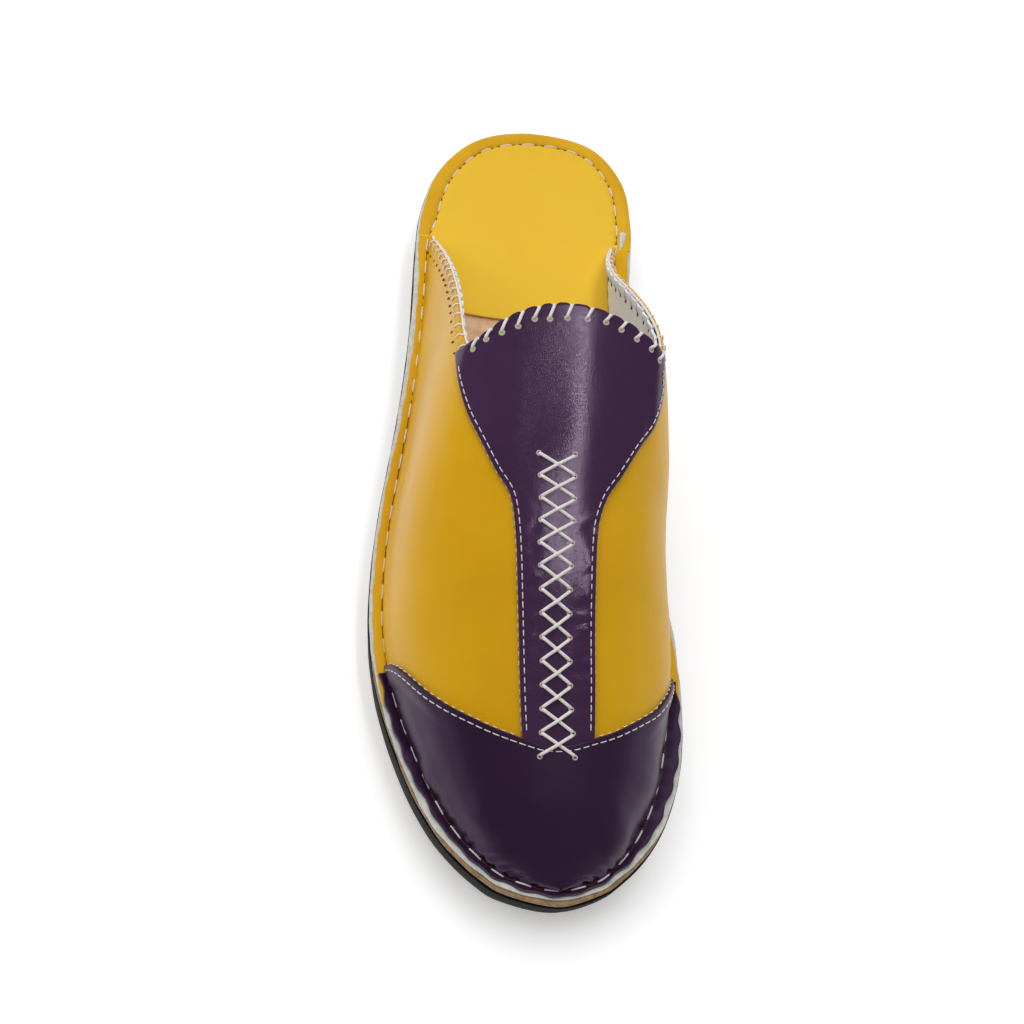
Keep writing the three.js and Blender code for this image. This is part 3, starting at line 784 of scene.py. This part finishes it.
for polygon in liningPiece.data.polygons:  # the edge that shows round the rim is handled and grey
    if polygon.center.z * 1000 < flangeTop(shoe["length"] / 2 - polygon.center.y * 1000):
        polygon.material_index = 1
capPiece = skinPiece("toe_cap_leather", capLook, seamStart, None, capEdge, capLeatherShaded, capDetail)
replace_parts(capPiece, "toe_cap")
print("skins made")

# The vamp strip, from the tongue's edge to the cap's seam
strip = {
    "rows": 120, "columns": 96, "grow": 1.2, "depth": 1.05, "cut": 0.25, "scallop": 1.0,
    "crown": 0.65, "crownAt": 9, "crownHalf": 17, "crease": 0.42,
}
whipHoles = [
    (-22.9, 128), (-19.2, 125.9), (-14.7, 124.4), (-10, 122.6), (-5.1, 120.2), (-0.6, 120), (4.6, 119.5),
    (10.7, 119.5), (16.3, 120), (21, 121.8), (25.9, 123.9), (30.7, 125.7), (33.7, 127.7),
]
whipLean = 1.5  # how far right of its hole a cord crosses the edge


def tonguePull(x):  # the cords draw the edge in where they cross it
    return strip["scallop"] * sum(bump(x, hole[0] - shoe["shift"] + whipLean, 1.25) for hole in whipHoles)


def stripPlan(across, along, lap=0.4):
    x, reach = 4.0, 150.0
    for _ in range(5):
        start = tongueReach(x) - 0.3
        reach = mix(start, seamReach(x) + lap, along) + tonguePull(x) * max(0, 1 - along * 12) ** 2
        share = reach / shoe["length"]
        x = shoe["ballWidth"] * mix(follow(stripRows, share, 1), follow(stripRows, share, 2), across)
    return x, reach


def stripDetail(x, reach):
    move = 0.12 * noise.noise(Vector((x * 0.09, reach * 0.07, 2.2)))
    across = min(abs(x - strip["crownAt"]) / strip["crownHalf"], 1)  # the tongue is a little crowned
    move += strip["crown"] * (1 - across**2) ** 2 * (1 - ease((reach - 150) / 30))
    beside = bump(x, 13, 5) + 0.6 * bump(x, -4, 3)  # creases drawn across beside the crosses
    run = ease((reach - 168) / 14) * (1 - ease((reach - 228) / 12))
    move += strip["crease"] * beside * run * noise.noise(Vector((x * 0.12 + 3, reach * 0.42 + x * 0.05, 1.1)))
    return move


stripLast = lastOf(strip["grow"])


def stripPoint(row, column):
    x, reach = stripPlan(column / strip["columns"], row / strip["rows"])
    point, normal = onLast(stripLast, x, reach)
    point += normal * stripDetail(x, reach)
    return rowPoint(*point)


bm = gridOf(strip["rows"], strip["columns"], stripPoint)
orient(bm)
stripPiece = newPiece("vamp_strip_leather", bm, purpleLeather, "purple_leather")
thicken(stripPiece, strip["depth"], strip["cut"])
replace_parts(stripPiece, "vamp_strip")
print("vamp strip made")

# Sole: bodies built of rings, from the middle of the bottom, out, up the side and back in


def tuckAt(point):
    heel = shoe["heelTuck"] * (1 - ease(point.y / shoe["heelTuckLength"]))
    return heel + shoe["toeTuck"] * (1 - ease((shoe["length"] - point.y) / shoe["toeTuckLength"]))


def sideInset(point, z):
    return tuckAt(point) * follow(tuckRows, (z - spring(point.y)) / shoe["heelHeight"])


def spineOf(point):  # the middle line that a layer's top and bottom close on
    return Vector((4 + point.y * 0.015, min(max(point.y, 42), 238)))


def layerPiece(
    name, sides, insetAt, heightAt, finish, slotName, around=300, radius=0.3, topRings=(0.02, 0.06, 0.93),
):
    rings = [(0.93, 0.0), (0.5, 0.0), (0.12, 0.0)] + [(0.0, side / sides) for side in range(sides + 1)]
    rings += [(share, 1.0) for share in topRings]

    def pointAt(row, column):
        share, level = rings[row]
        place = placeAt(column / around)
        rim = rimPoint(place, 0)
        low, high = heightAt(rim)
        z = mix(low, high, level)
        near = min(z - low, high - z)
        inset = insetAt(rim, z, place)
        if near < radius:
            inset += radius - math.sqrt(max(radius**2 - (radius - near) ** 2, 0))
        point = rimPoint(place, inset)
        point = point + (spineOf(point) - point) * share
        if share:
            z = heightAt(point)[1 if level else 0]
        return rowPoint(point.x, point.y, z)

    bm = gridOf(len(rings) - 1, around, pointAt)
    bmesh.ops.remove_doubles(bm, verts=bm.verts[:], dist=2e-5)
    filled = bmesh.ops.holes_fill(bm, edges=[edge for edge in bm.edges if edge.is_boundary], sides=0)
    bmesh.ops.triangulate(bm, faces=filled["faces"])
    bmesh.ops.recalc_face_normals(bm, faces=bm.faces[:])
    return newPiece(name, bm, finish, slotName)


lowerBand = layerPiece(
    "midsole_grey_band", 14, lambda rim, z, place: 0.3 + sideInset(rim, z) + waver(place, 0.12, 11, 2),
    lambda point: (treadLow(point.y), treadTop(point.y)), greyFoam, "grey_foam",
)
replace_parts(lowerBand, "midsole_lower")
upperBand = layerPiece(
    "midsole_black_band", 20,
    lambda rim, z, place: sideInset(rim, z) - 0.2 * tipness(rim) + waver(place, 0.12, 13, 6),
    lambda point: (treadTop(point.y) + 0.12, deck(point.y)), blackFoam, "black_foam",
)
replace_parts(upperBand, "midsole_upper")
boardPiece = layerPiece(
    "insole_board_leather", 8, lambda rim, z, place: 0.3 + waver(place, 0.3, 8, 4),
    lambda point: (deck(point.y) + 0.1, boardTop(point.y)), bareLeather, "bare_leather", radius=0.6,
    topRings=(0.02, 0.06, 0.12, 0.2, 0.3, 0.45, 0.6, 0.75, 0.93),
)
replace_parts(boardPiece, "insole_board")
boardRim = {"width": 3.5, "dirtyFrom": 205}
boardPiece.data.materials.append(boardEdge)
boardPiece.data.materials.append(liningWorn)
for polygon in boardPiece.data.polygons:  # the cut edge is dirty round the toe and pale behind
    middle = Vector((polygon.center.x * 1000 - shoe["shift"], shoe["length"] / 2 - polygon.center.y * 1000))
    if min((point - middle).length for point in outline[::8]) < boardRim["width"]:
        polygon.material_index = 1 if middle.y > boardRim["dirtyFrom"] else 2

# Outsole: a thin sheet with ribs right across, its edge a row of waves
tread = {"pitch": 5.2, "depth": 1.2, "crest": 1.8, "start": 2.2, "steps": 8, "columns": 26, "step": 1.1}


def ribLift(reach):
    if reach < tread["start"] or reach > shoe["length"] - tread["start"]:
        return 0.0
    phase = ((reach - tread["start"]) % tread["pitch"]) - tread["crest"] / 2
    if phase > tread["pitch"] - tread["crest"]:
        phase -= tread["pitch"]
    flat = tread["crest"] / 2
    away = abs(phase) if phase < tread["pitch"] / 2 else tread["pitch"] - phase
    return tread["depth"] * ease(max(0.0, away - flat) / (tread["pitch"] / 2 - flat))


soleReaches = [0.0]
while soleReaches[-1] < shoe["length"]:
    near = min(soleReaches[-1], shoe["length"] - soleReaches[-1])
    soleReaches.append(soleReaches[-1] + min(tread["pitch"] / tread["steps"], 0.08 + near * 0.25))
soleReaches[-1] = shoe["length"]


def sheetForm(step, z):  # the outline at one height, as a foot line by reach
    points = [point + inset * (step + sideInset(point, z)) for point, inset in zip(outline, inward)]
    tip = max(range(outlineCount), key=lambda index: points[index].y)
    heel = min(range(outlineCount), key=lambda index: points[index].y)
    sides = {}
    for side in (-1, 1):
        count = (tip - heel) % outlineCount if side < 0 else (heel - tip) % outlineCount
        rows = []
        for offset in range(count + 1):
            point = points[(heel - side * offset) % outlineCount]
            if not rows or point.y > rows[-1][0]:
                rows.append((point.y, point.x, 0))
        sides[side] = ([row[0] for row in rows], rows)
    return {"heel": points[heel].y, "tip": points[tip].y, "sides": sides}


def outsolePiece():
    low, high = sheetForm(tread["step"], 0), sheetForm(tread["step"], shoe["outsole"])
    span = shoe["length"]

    def pointAt(row, column):
        part = soleReaches[row] / span
        form = low if column <= tread["columns"] else high
        reach = mix(form["heel"] + 0.01, form["tip"] - 0.01, part)
        left, right = footAt(form, -1, reach)[0], footAt(form, 1, reach)[0]
        if column <= tread["columns"]:
            across = column / tread["columns"]
            return rowPoint(mix(left, right, across), reach, spring(reach) + ribLift(reach))
        across = (column - tread["columns"] - 1) / tread["columns"]
        return rowPoint(mix(right, left, across), reach, spring(reach) + shoe["outsole"])

    around = 2 * tread["columns"] + 2
    bm = gridOf(len(soleReaches) - 1, around, lambda row, column: pointAt(row, column % around))
    bmesh.ops.remove_doubles(bm, verts=bm.verts[:], dist=1e-5)
    bmesh.ops.holes_fill(bm, edges=[edge for edge in bm.edges if edge.is_boundary], sides=0)
    bmesh.ops.recalc_face_normals(bm, faces=bm.faces[:])
    piece = newPiece("outsole_rubber", bm, tanRubber, "outsole_rubber")
    piece.data.materials.append(darkUnder)
    for polygon in piece.data.polygons:
        if polygon.normal.z < -0.35:
            polygon.material_index = 1
    return piece


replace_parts(outsolePiece(), "outsole")
print("sole made")

# Heel sock: a sheet of U-shaped rings, with a stitched groove round the heel
sock = {
    "front": 78.3, "bow": 4.0, "spine": 3.5, "sideColumns": 30, "heelColumns": 220, "thickness": 1.0,
    "cut": 0.3, "end": 49.6, "lift": 0.15, "groove": 0.42,
}
wingForm = lastOf(-2.3)
sockInsets = (0, 0.06, 0.2, 0.42, 0.68, 0.84, 0.93, 1, 1.07, 1.18, 1.4, 1.8)


def stitchInset(rim):  # how far inside the outline the rim's running stitch lies
    heel = 1 - ease((rim.y - 40) / 14)
    behind = rimStitch["heelInset"] + (0.8 if rim.x < 3 else 0) * ease(rim.y / 25)
    return mix(flangeAt(rim) + drawIn(rim) - rimStitch["fromFoot"], behind, heel)


def placeAtReach(side, reach):
    span = range(outlineCount // 2) if side < 0 else range(outlineCount - 1, outlineCount // 2, -1)
    return next(index for index in span if outline[index].y >= reach)


def sockEdge(rim):  # how far inside the outline the sock's cut edge lies
    return 1.1 * ease(rim.y / 20) if rim.x < 3 else 0.5


def heelPlan(side, row, part):  # part runs from the wing's start to the back of the heel
    place = sockEnds[side] * (1 - part) if side < 0 else mix(sockEnds[side], outlineCount, part)
    rim = rimPoint(place, 0)
    first, groove = sockEdge(rim), stitchInset(rim)
    if row < len(sockInsets):
        inset = first + sockInsets[row] * (groove - first)
        return rimPoint(place, inset), inset, groove, place
    share = (row - len(sockInsets) + 1) / (sockRows - len(sockInsets) + 1)
    inmost = rimPoint(place, first + sockInsets[-1] * (groove - first))
    return inmost.lerp(Vector((sock["spine"], mix(sock["end"] - 2, 40, part))), share), 20, groove, place


def sockPoint(row, column):
    side = -1 if column <= sock["sideColumns"] + sock["heelColumns"] / 2 else 1
    fromEnd = column if side < 0 else 2 * sock["sideColumns"] + sock["heelColumns"] - column
    depth = 0.0
    if fromEnd < sock["sideColumns"]:
        part = fromEnd / sock["sideColumns"]
        edge = heelPlan(side, row, 0)[0]
        span = footAt(wingForm, side, edge.y)[0] - sock["spine"]
        near = max(1 - (edge.x - sock["spine"]) / span, row * 0.002)
        share = row / sockRows
        ahead = sock["front"] + sock["bow"] * (1 - (1 - share) ** 2)
        reach = mix(ahead, edge.y, part)
        foot = footAt(wingForm, side, reach)[0]
        point = Vector((mix(foot, sock["spine"], mix(share, near, ease(part))), reach))
    else:
        part = (fromEnd - sock["sideColumns"]) / (sock["heelColumns"] / 2)
        point, inset, groove, place = heelPlan(side, row, part)
        depth += 0.55 * max(0, 1 - (inset - 0.5) / 1.5) ** 2
        depth += (sock["groove"] + 0.5 * nearHole(place)) * bump(inset - groove, 0, 0.85)
        depth -= 0.3 * (1 - nearHole(place)) * bump(inset - groove, 1.6, 1.6)
        depth -= 0.2 * bump(inset / groove, 0.55, 0.6)
        depth *= ease(part / 0.03)
    z = boardTop(point.y) + sock["lift"] + sock["thickness"] - depth
    z += 0.14 * noise.noise(Vector((point.x * 0.05, point.y * 0.05, 9)))
    return rowPoint(point.x, point.y, z)


sockRows = len(sockInsets) + 16
sockEnds = {side: placeAtReach(side, sock["end"]) for side in (-1, 1)}
bm = gridOf(sockRows, 2 * sock["sideColumns"] + sock["heelColumns"], sockPoint)
bmesh.ops.remove_doubles(bm, verts=bm.verts[:], dist=1e-5)
orient(bm)
sockPiece = newPiece("heel_sock_leather", bm, sockLeather, "yellow_leather")
sockPiece.data.materials.append(rimLeather)
for polygon in sockPiece.data.polygons:  # the rim outside the groove has a deeper tone
    middle = Vector((polygon.center.x * 1000 - shoe["shift"], shoe["length"] / 2 - polygon.center.y * 1000))
    if middle.y < sock["end"]:
        nearest = min(range(0, outlineCount), key=lambda index: (outline[index] - middle).length_squared)
        if (outline[nearest] - middle).length < stitchInset(outline[nearest]):
            polygon.material_index = 1
thicken(sockPiece, sock["thickness"], sock["cut"])
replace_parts(sockPiece, "heel_sock")
print("heel sock made")

# The lining's end, folded over the board where the inner flange starts
flap = {
    "start": 42.4, "end": 51.6, "outer": 2.2, "inner": 4.6, "point": 0.4, "lift": 1.3, "hump": 0.3,
    "arch": 0.2, "depth": 0.6, "cut": 0.2,
}


def flapPoint(row, column):
    along, across = row / 10, column / 10
    place = placeAtReach(1, mix(flap["start"], flap["end"], along))
    bow = 0.3 * (2 * across - 1) ** 2 * (1 - along)
    outer = mix(flap["outer"], flap["inner"] - flap["point"], along)
    point = rimPoint(place, mix(outer, flap["inner"], across))
    z = boardTop(point.y) + flap["lift"] - flap["arch"] * (2 * across - 1) ** 2
    z += flap["hump"] * math.sin(math.pi * (0.25 + 0.6 * along))
    return rowPoint(point.x, point.y + bow, z)


bm = gridOf(10, 10, flapPoint)
orient(bm)
flapPiece = newPiece("lining_end_flap", bm, liningWorn, "yellow_leather")
thicken(flapPiece, flap["depth"], flap["cut"])

# Cords: smooth tubes along given points, several in one piece


def smoothPath(points, steps=4):
    made = []
    for index in range(len(points) - 1):
        p = [points[min(max(index + offset, 0), len(points) - 1)] for offset in (-1, 0, 1, 2)]
        for step in range(steps):
            t = step / steps
            made.append(0.5 * (
                p[1] * 2 + (p[2] - p[0]) * t + (p[0] * 2 - p[1] * 5 + p[2] * 4 - p[3]) * t**2
                + (p[1] * 3 - p[0] - p[2] * 3 + p[3]) * t**3
            ))
    return made + [points[-1]]


def cordPiece(name, paths, radius, finish, slotName, steps=4, sides=2, taper=0.72):
    curve = bpy.data.curves.new(name, "CURVE")
    curve.dimensions, curve.bevel_depth = "3D", radius / 1000
    curve.bevel_resolution, curve.use_fill_caps = sides, True
    for path in paths:
        points = smoothPath(path, steps)
        spline = curve.splines.new("POLY")
        spline.points.add(len(points) - 1)
        for index, point in enumerate(points):
            spline.points[index].co = (*rowPoint(*point), 1)
            spline.points[index].radius = taper if index in (0, len(points) - 1) else 1
    shape = bpy.data.objects.new(name + "_line", curve)
    bpy.context.scene.collection.objects.link(shape)
    mesh = bpy.data.meshes.new_from_object(shape.evaluated_get(bpy.context.evaluated_depsgraph_get()))
    bpy.data.objects.remove(shape)
    bpy.data.curves.remove(curve)
    bm = bmesh.new()
    bm.from_mesh(mesh)
    bpy.data.meshes.remove(mesh)
    return newPiece(name, bm, finish, slotName)


def tangentOf(before, after):
    return (after - before).normalized()


# Thirteen crosses down the middle of the strip, and the holes they come from
cross = {"start": 160.3, "end": 242.0, "count": 13, "radius": 0.5, "lift": 0.4, "over": 0.75, "hole": 0.85}
# share of the way down, middle across, half width
crossRows = [
    (0, 2.45, 5.3), (0.16, 3.1, 4.8), (0.32, 2.95, 4.65), (0.48, 3.4, 4.1), (0.64, 4.1, 4), (0.8, 4.85, 4.1),
    (0.93, 5.6, 4.6), (1, 5.9, 5.1),
]


def crossHole(row, side):
    share = row / cross["count"]
    x = follow(crossRows, share) - shoe["shift"] + side * follow(crossRows, share, 2)
    return x, mix(cross["start"], cross["end"], share)


def overStrip(x, reach, lift):
    point, normal = onLast(stripLast, x, reach)
    return point + normal * (lift + stripDetail(x, reach)), normal


crossPaths = []
for row in range(cross["count"]):
    for side in (-1, 1):
        x0, r0 = crossHole(row + (0.06 if side > 0 else 0.0), side)
        x1, r1 = crossHole(row + 1 - 0.06, -side)
        low, high = cross["lift"], cross["lift"] + (cross["over"] if side > 0 else 0)
        path = [overStrip(x0, r0, -0.7)[0]]
        for part, lift in ((0.06, 0.25), (0.25, low), (0.5, high), (0.75, low), (0.94, 0.25)):
            path.append(overStrip(mix(x0, x1, part), mix(r0, r1, part), lift)[0])
        path.append(overStrip(x1, r1, -0.7)[0])
        crossPaths.append(path)
crossPiece = cordPiece("cross_stitch_cord", crossPaths, cross["radius"], cordYarn, "cord", sides=3)
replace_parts(crossPiece, "cross_stitch")
print("crosses made")

# Whip stitches over the tongue's edge
whip = {"radius": 0.5, "hole": 1.0}
tonguePaths = []
for x, reach in whipHoles:
    x -= shoe["shift"]
    topX = x + whipLean
    edgeReach = tongueReach(topX) + tonguePull(topX) - 0.3
    path = [overStrip(x, reach, -0.9)[0], overStrip(x + 0.1, reach - 0.35, 0.15)[0]]
    for part, lift in ((0.35, 0.5), (0.75, 0.5)):
        path.append(overStrip(mix(x, topX, part), mix(reach, edgeReach, part), lift)[0])
    end, normal = overStrip(topX, edgeReach, 0)
    ahead = Vector((0, 1, 0))
    for forth, sink in ((0.1, -0.3), (-0.12, 0.6), (-0.1, 2.4), (0.9, 3.5), (2.5, 3.3)):  # over and under
        path.append(end + ahead * forth - normal * sink)
    tonguePaths.append(path)
cordPiece("tongue_whip_cord", tonguePaths, whip["radius"], cordYarn, "cord", sides=3)

# Blanket stitch along both wings: an edge cord, and loops down both faces
wingPaths, wingLoops, wingHoles = [], [], []
for side in (-1, 1):
    line, runs = wingLines[side], wingRuns[side]
    edgeCord = []
    for index in range(2, len(line), 3):
        point, normal = line[index]
        edgeCord.append(point - normal * 1.0 + Vector((0, 0, 0.25 + 0.12 * math.sin(index * 1.3))))
    wingPaths.append(edgeCord)
    stitch = 1
    while stitch * wing["pitch"] < runs[-1]:
        index = bisect.bisect_left(runs, stitch * wing["pitch"])
        point, normal = line[index]
        along = tangentOf(line[max(index - 2, 0)][0], line[min(index + 3, len(line) - 1)][0])
        down = normal.cross(along).normalized()
        if down.z > 0:
            down = -down
        low = point + down * wing["reachDown"] - along * 1.7
        wingLoops.append([
            low - normal * 0.6, low + normal * 0.2, point + down * 1.5 - along * 1.5 + normal * 0.34,
            point + down * 0.4 - along * 0.7 + normal * 0.36, point - down * 0.35 - normal * 0.5,
            point - down * 0.3 - normal * 1.6 + along * 0.4, point + down * 1.6 - normal * 2.2 + along * 0.7,
            point + down * 3.3 - normal * 2.0 + along * 0.8, point + down * 3.9 - normal * 1.4 + along * 0.8,
        ])
        # each needle hole is a short dark cord lying on the face: painted shade for the hole
        slant = (down * 0.9 - along * 0.5).normalized()
        hole = point + down * 4.6 - along * 1.9 + normal * 0.02
        if side < 0 or point.y < wing["holesUntil"]:
            wingHoles.append([hole - slant * 0.5, hole + slant * 0.5])
        hole = point + down * 4.4 + along * 0.8 - normal * 1.85
        wingHoles.append([hole - slant * 0.9, hole + slant * 0.9])
        stitch += 1
cordPiece("wing_edge_cord", wingPaths, wing["radius"], cordYarn, "cord")
cordPiece("wing_loop_cord", wingLoops, wing["loop"], cordYarn, "cord")
cordPiece("wing_needle_holes", wingHoles, wing["hole"], holeShadeDark, "yellow_leather", steps=2, sides=1)
print("edges stitched")

# Running stitch round the rim, in the groove at the foot of the wall
rimPaths = []
for stitch in range(rimStitch["count"]):
    path = []
    for part, lift in ((0.0, -1.0), (0.1, -0.1), (0.35, 0.2), (0.65, 0.2), (0.9, -0.1), (1.0, -1.0)):
        place = placeAt((stitch + rimStitch["share"] * part) / rimStitch["count"])
        rim = rimPoint(place, 0)
        point = rimPoint(place, stitchInset(rim))
        if rim.y < sock["end"]:
            z = boardTop(point.y) + sock["lift"] + sock["thickness"] - sock["groove"]
        else:
            z = flangeTop(point.y) - 0.15 + (0.5 if point.y > seamReach(point.x) + 3 else 0.0)
        path.append(Vector((point.x, point.y, z + lift)))
    rimPaths.append(path)
# Dark brown cords along the groove between the stitches: painted shade, standing in for the shadow in the
# groove
rimGrooveShade = []
for stitch in range(rimStitch["count"]):
    start, end = rimPaths[stitch], rimPaths[(stitch + 1) % rimStitch["count"]]
    slot = []
    for part in (0.0, 0.3, 0.7, 1.0):
        gap = 1 - rimStitch["share"]
        place = placeAt((stitch + rimStitch["share"] + gap * part) / rimStitch["count"])
        rim = rimPoint(place, 0)
        point = rimPoint(place, stitchInset(rim))
        z = mix(start[4].z, end[1].z, part) + (0.05 if part in (0.3, 0.7) else 0.1)
        slot.append(Vector((point.x, point.y, z)))
    rimGrooveShade.append(slot)
cordPiece("rim_groove_painted_shade", rimGrooveShade, rimStitch["slot"], grooveShadePainted, "yellow_leather", sides=1)
cordPiece("rim_running_stitch", rimPaths, rimStitch["radius"], threadYarn, "cord", sides=3)
print("rim stitched")

# Machine stitches beside the purple edges
seamStitch = {
    "pitch": 2.7, "length": 2.05, "radius": 0.17, "dot": 1.3, "lift": 0.06, "inset": 1.35, "capInset": 1.5,
    "outset": 0.15, "capOutset": 0.2, "sink": 1.1,
}


def beside(line, offset, sink):  # a line of points and normals, moved across the surface and down
    moved = []
    for index, (point, normal) in enumerate(line):
        along = tangentOf(line[max(index - 1, 0)][0], line[min(index + 1, len(line) - 1)][0])
        moved.append((point + normal.cross(along).normalized() * offset - normal * sink, normal))
    return moved


def dashes(line, length):
    run, paths, marks = 0.0, [], [0.0]
    for before, after in zip(line, line[1:]):
        run += (after[0] - before[0]).length
        marks.append(run)
    place = 1.0
    while place + length < run:
        path = []
        for part, height in ((0, -0.3), (0.2, seamStitch["lift"]), (0.8, seamStitch["lift"]), (1, -0.3)):
            target = place + part * length
            index = min(max(bisect.bisect_left(marks, target), 1), len(line) - 1)
            share = (target - marks[index - 1]) / ((marks[index] - marks[index - 1]) or 1)
            point = line[index - 1][0].lerp(line[index][0], share)
            path.append(point + line[index][1] * height)
        paths.append(path)
        place += seamStitch["pitch"]
    return paths


machinePaths = []
for across, turn in ((0, -1), (1, 1)):
    line = []
    for step in range(130):
        x, reach = stripPlan(across, 0.05 + 0.94 * step / 129)
        line.append(onLast(stripLast, x, reach))
    machinePaths += dashes(beside(line, turn * seamStitch["inset"], 0), seamStitch["length"])
    outside = beside(line, -turn * seamStitch["outset"], seamStitch["sink"])
    machinePaths += dashes(outside, seamStitch["dot"])
seamLine = []
for side, order in ((-1, range(4, 101)), (1, range(99, 3, -1))):
    for step in order:
        up = (step / 100) ** skin["wallPower"]
        reach = seamStart(side, up)
        point, place = lastPoint(capLast, side, up, reach), footAt(capLast, side, reach)[1]
        rim = rimPoint(place, 0)
        drawn = drawnWall(rim, point.z - flangeTop(reach)) * offCrest(up)
        point -= (rimPoint(place, -1) - rim).to_3d() * drawn
        seamLine.append((point, normalAt(capLast, side, up, reach)))
machinePaths += dashes(beside(seamLine, seamStitch["capInset"], 0), seamStitch["length"])
for part in ([at for at in seamLine if at[0].x < -5], [at for at in seamLine if at[0].x > 16.5]):
    outside = beside(part, -seamStitch["capOutset"], seamStitch["sink"])
    machinePaths += dashes(outside, seamStitch["dot"])
cordPiece("seam_machine_stitch", machinePaths, seamStitch["radius"], threadYarn, "cord", steps=2, sides=1)
print("seams stitched:", len(machinePaths))

# Punched holes: a pale worn ring, and in the middle the leather under it, darkened with painted shade


def ringPiece(name, places, radius, finish, middle, slotName):
    bm = bmesh.new()
    for point, normal in places:
        upright = rowVector(normal).to_track_quat("Z", "Y").to_matrix().to_4x4()
        turned = Matrix.Translation(rowPoint(*point)) @ upright
        made = bmesh.ops.create_circle(bm, cap_ends=True, radius=radius / 1000, segments=16, matrix=turned)
        face = made["verts"][0].link_faces[0]
        if face.normal.dot(rowVector(normal)) < 0:
            face.normal_flip()
        for width, rise in ((0.00018, 0.00016), (0.00022, 0), (0.00012, -0.00013)):  # up, along and in
            bmesh.ops.inset_region(
                bm, faces=[face], thickness=radius * width, depth=rise, use_even_offset=True,
                use_boundary=True,
            )
        # the sunken middle takes the darker colour: painted shade in the hole
        face.material_index = 1
    piece = newPiece(name, bm, finish, slotName)
    piece.data.materials.append(middle)
    return piece


def rowVector(direction):
    return Vector((direction.x, -direction.y, direction.z))


crossHoles = [overStrip(*crossHole(row, side), 0.02) for row in range(cross["count"] + 1) for side in (-1, 1)]
ringPiece("cross_stitch_holes", crossHoles, cross["hole"], ringWorn, holeShadeOlive, "cord")
tongueHoles = [overStrip(x - shoe["shift"] + 0.15, reach + 0.25, 0.02) for x, reach in whipHoles]
ringPiece("tongue_whip_holes", tongueHoles, whip["hole"], ringWorn, holeShadeYellow, "cord")

# Floor, light and camera
camera = bpy.data.objects.new("camera", bpy.data.cameras.new("camera"))
camera.data.lens, camera.data.sensor_width = 52.08, 36
right, down = (0.9931, -0.002, 0.1175), (0.0488, -0.9026, -0.4278)
ahead = (0.1069, 0.4306, -0.8962)
turn = Matrix((right, [-v for v in down], [-v for v in ahead])).transposed().to_quaternion()
camera.rotation_mode = "QUATERNION"
camera.rotation_quaternion = turn
camera.location = (-0.05587, -0.2214, 0.4525)
camera.data.clip_start = 0.01
bpy.context.scene.collection.objects.link(camera)
bpy.context.scene.camera = camera

floorPaper, nodes, links = material("floorPaper")
for key, value in (
    ("Base Color", (0.97, 0.97, 0.97, 1)), ("Roughness", 0.9), ("Emission Color", (1, 1, 1, 1)),
    ("Emission Strength", 0.26),
):
    nodes["Principled BSDF"].inputs[key].default_value = value
bm = bmesh.new()
bmesh.ops.create_grid(bm, x_segments=4, y_segments=4, size=3)
floorMesh = bpy.data.meshes.new("floor")
bm.to_mesh(floorMesh)
bm.free()
floorMesh.materials.append(floorPaper)
floor = bpy.data.objects.new("floor", floorMesh)
floor.location.z = -0.0002
bpy.context.scene.collection.objects.link(floor)


def softLight(name, place, size, power, aim=None):
    lamp = bpy.data.lights.new(name, "AREA")
    lamp.shape, lamp.size, lamp.size_y, lamp.energy = "RECTANGLE", size[0], size[1], power
    made = bpy.data.objects.new(name, lamp)
    made.location = place
    if aim:
        made.rotation_euler = (Vector(aim) - Vector(place)).to_track_quat("-Z", "Y").to_euler()
    bpy.context.scene.collection.objects.link(made)
    return made


heart = (0.0, 0.0, 0.05)
softLight("topStrip", (0.185, -0.05, 1.2), (0.03, 0.95), 2.2).rotation_euler = (0, 0, 0.1)
softLight("overheadFill", (0.0, 0.85, 1.7), (2.0, 2.0), 25, heart).visible_glossy = False
softLight("leftFill", (-1.3, 0.1, 0.9), (1.2, 1.2), 7, heart).visible_glossy = False
softLight("rightFill", (1.3, 0.1, 0.9), (1.2, 1.2), 1.6, heart).visible_glossy = False
for name, place, power in (("leftSheen", (-1.5, -0.75, 0.5), 1.7), ("rightSheen", (1.5, -0.45, 0.4), 2)):
    softLight(name, place, (1.0, 0.6), power, heart).visible_diffuse = False
world = bpy.data.worlds.new("studio")
bpy.context.scene.world = world
world.use_nodes = True
worldNodes, worldLinks = world.node_tree.nodes, world.node_tree.links
worldNodes["Background"].inputs["Color"].default_value = (1, 1, 1, 1)
rays = worldNodes.new("ShaderNodeLightPath")
glossyPart = node(worldNodes, "ShaderNodeMath", {1: -0.14, 2: 0.22}, operation="MULTIPLY_ADD")
worldLinks.new(rays.outputs["Is Glossy Ray"], glossyPart.inputs[0])
seenPart = node(worldNodes, "ShaderNodeMath", {1: 0.75}, operation="MULTIPLY_ADD")
worldLinks.new(rays.outputs["Is Camera Ray"], seenPart.inputs[0])
worldLinks.new(glossyPart.outputs[0], seenPart.inputs[2])
worldLinks.new(seenPart.outputs[0], worldNodes["Background"].inputs["Strength"])
bpy.context.scene.view_settings.view_transform = "Standard"
print("lights and camera set")
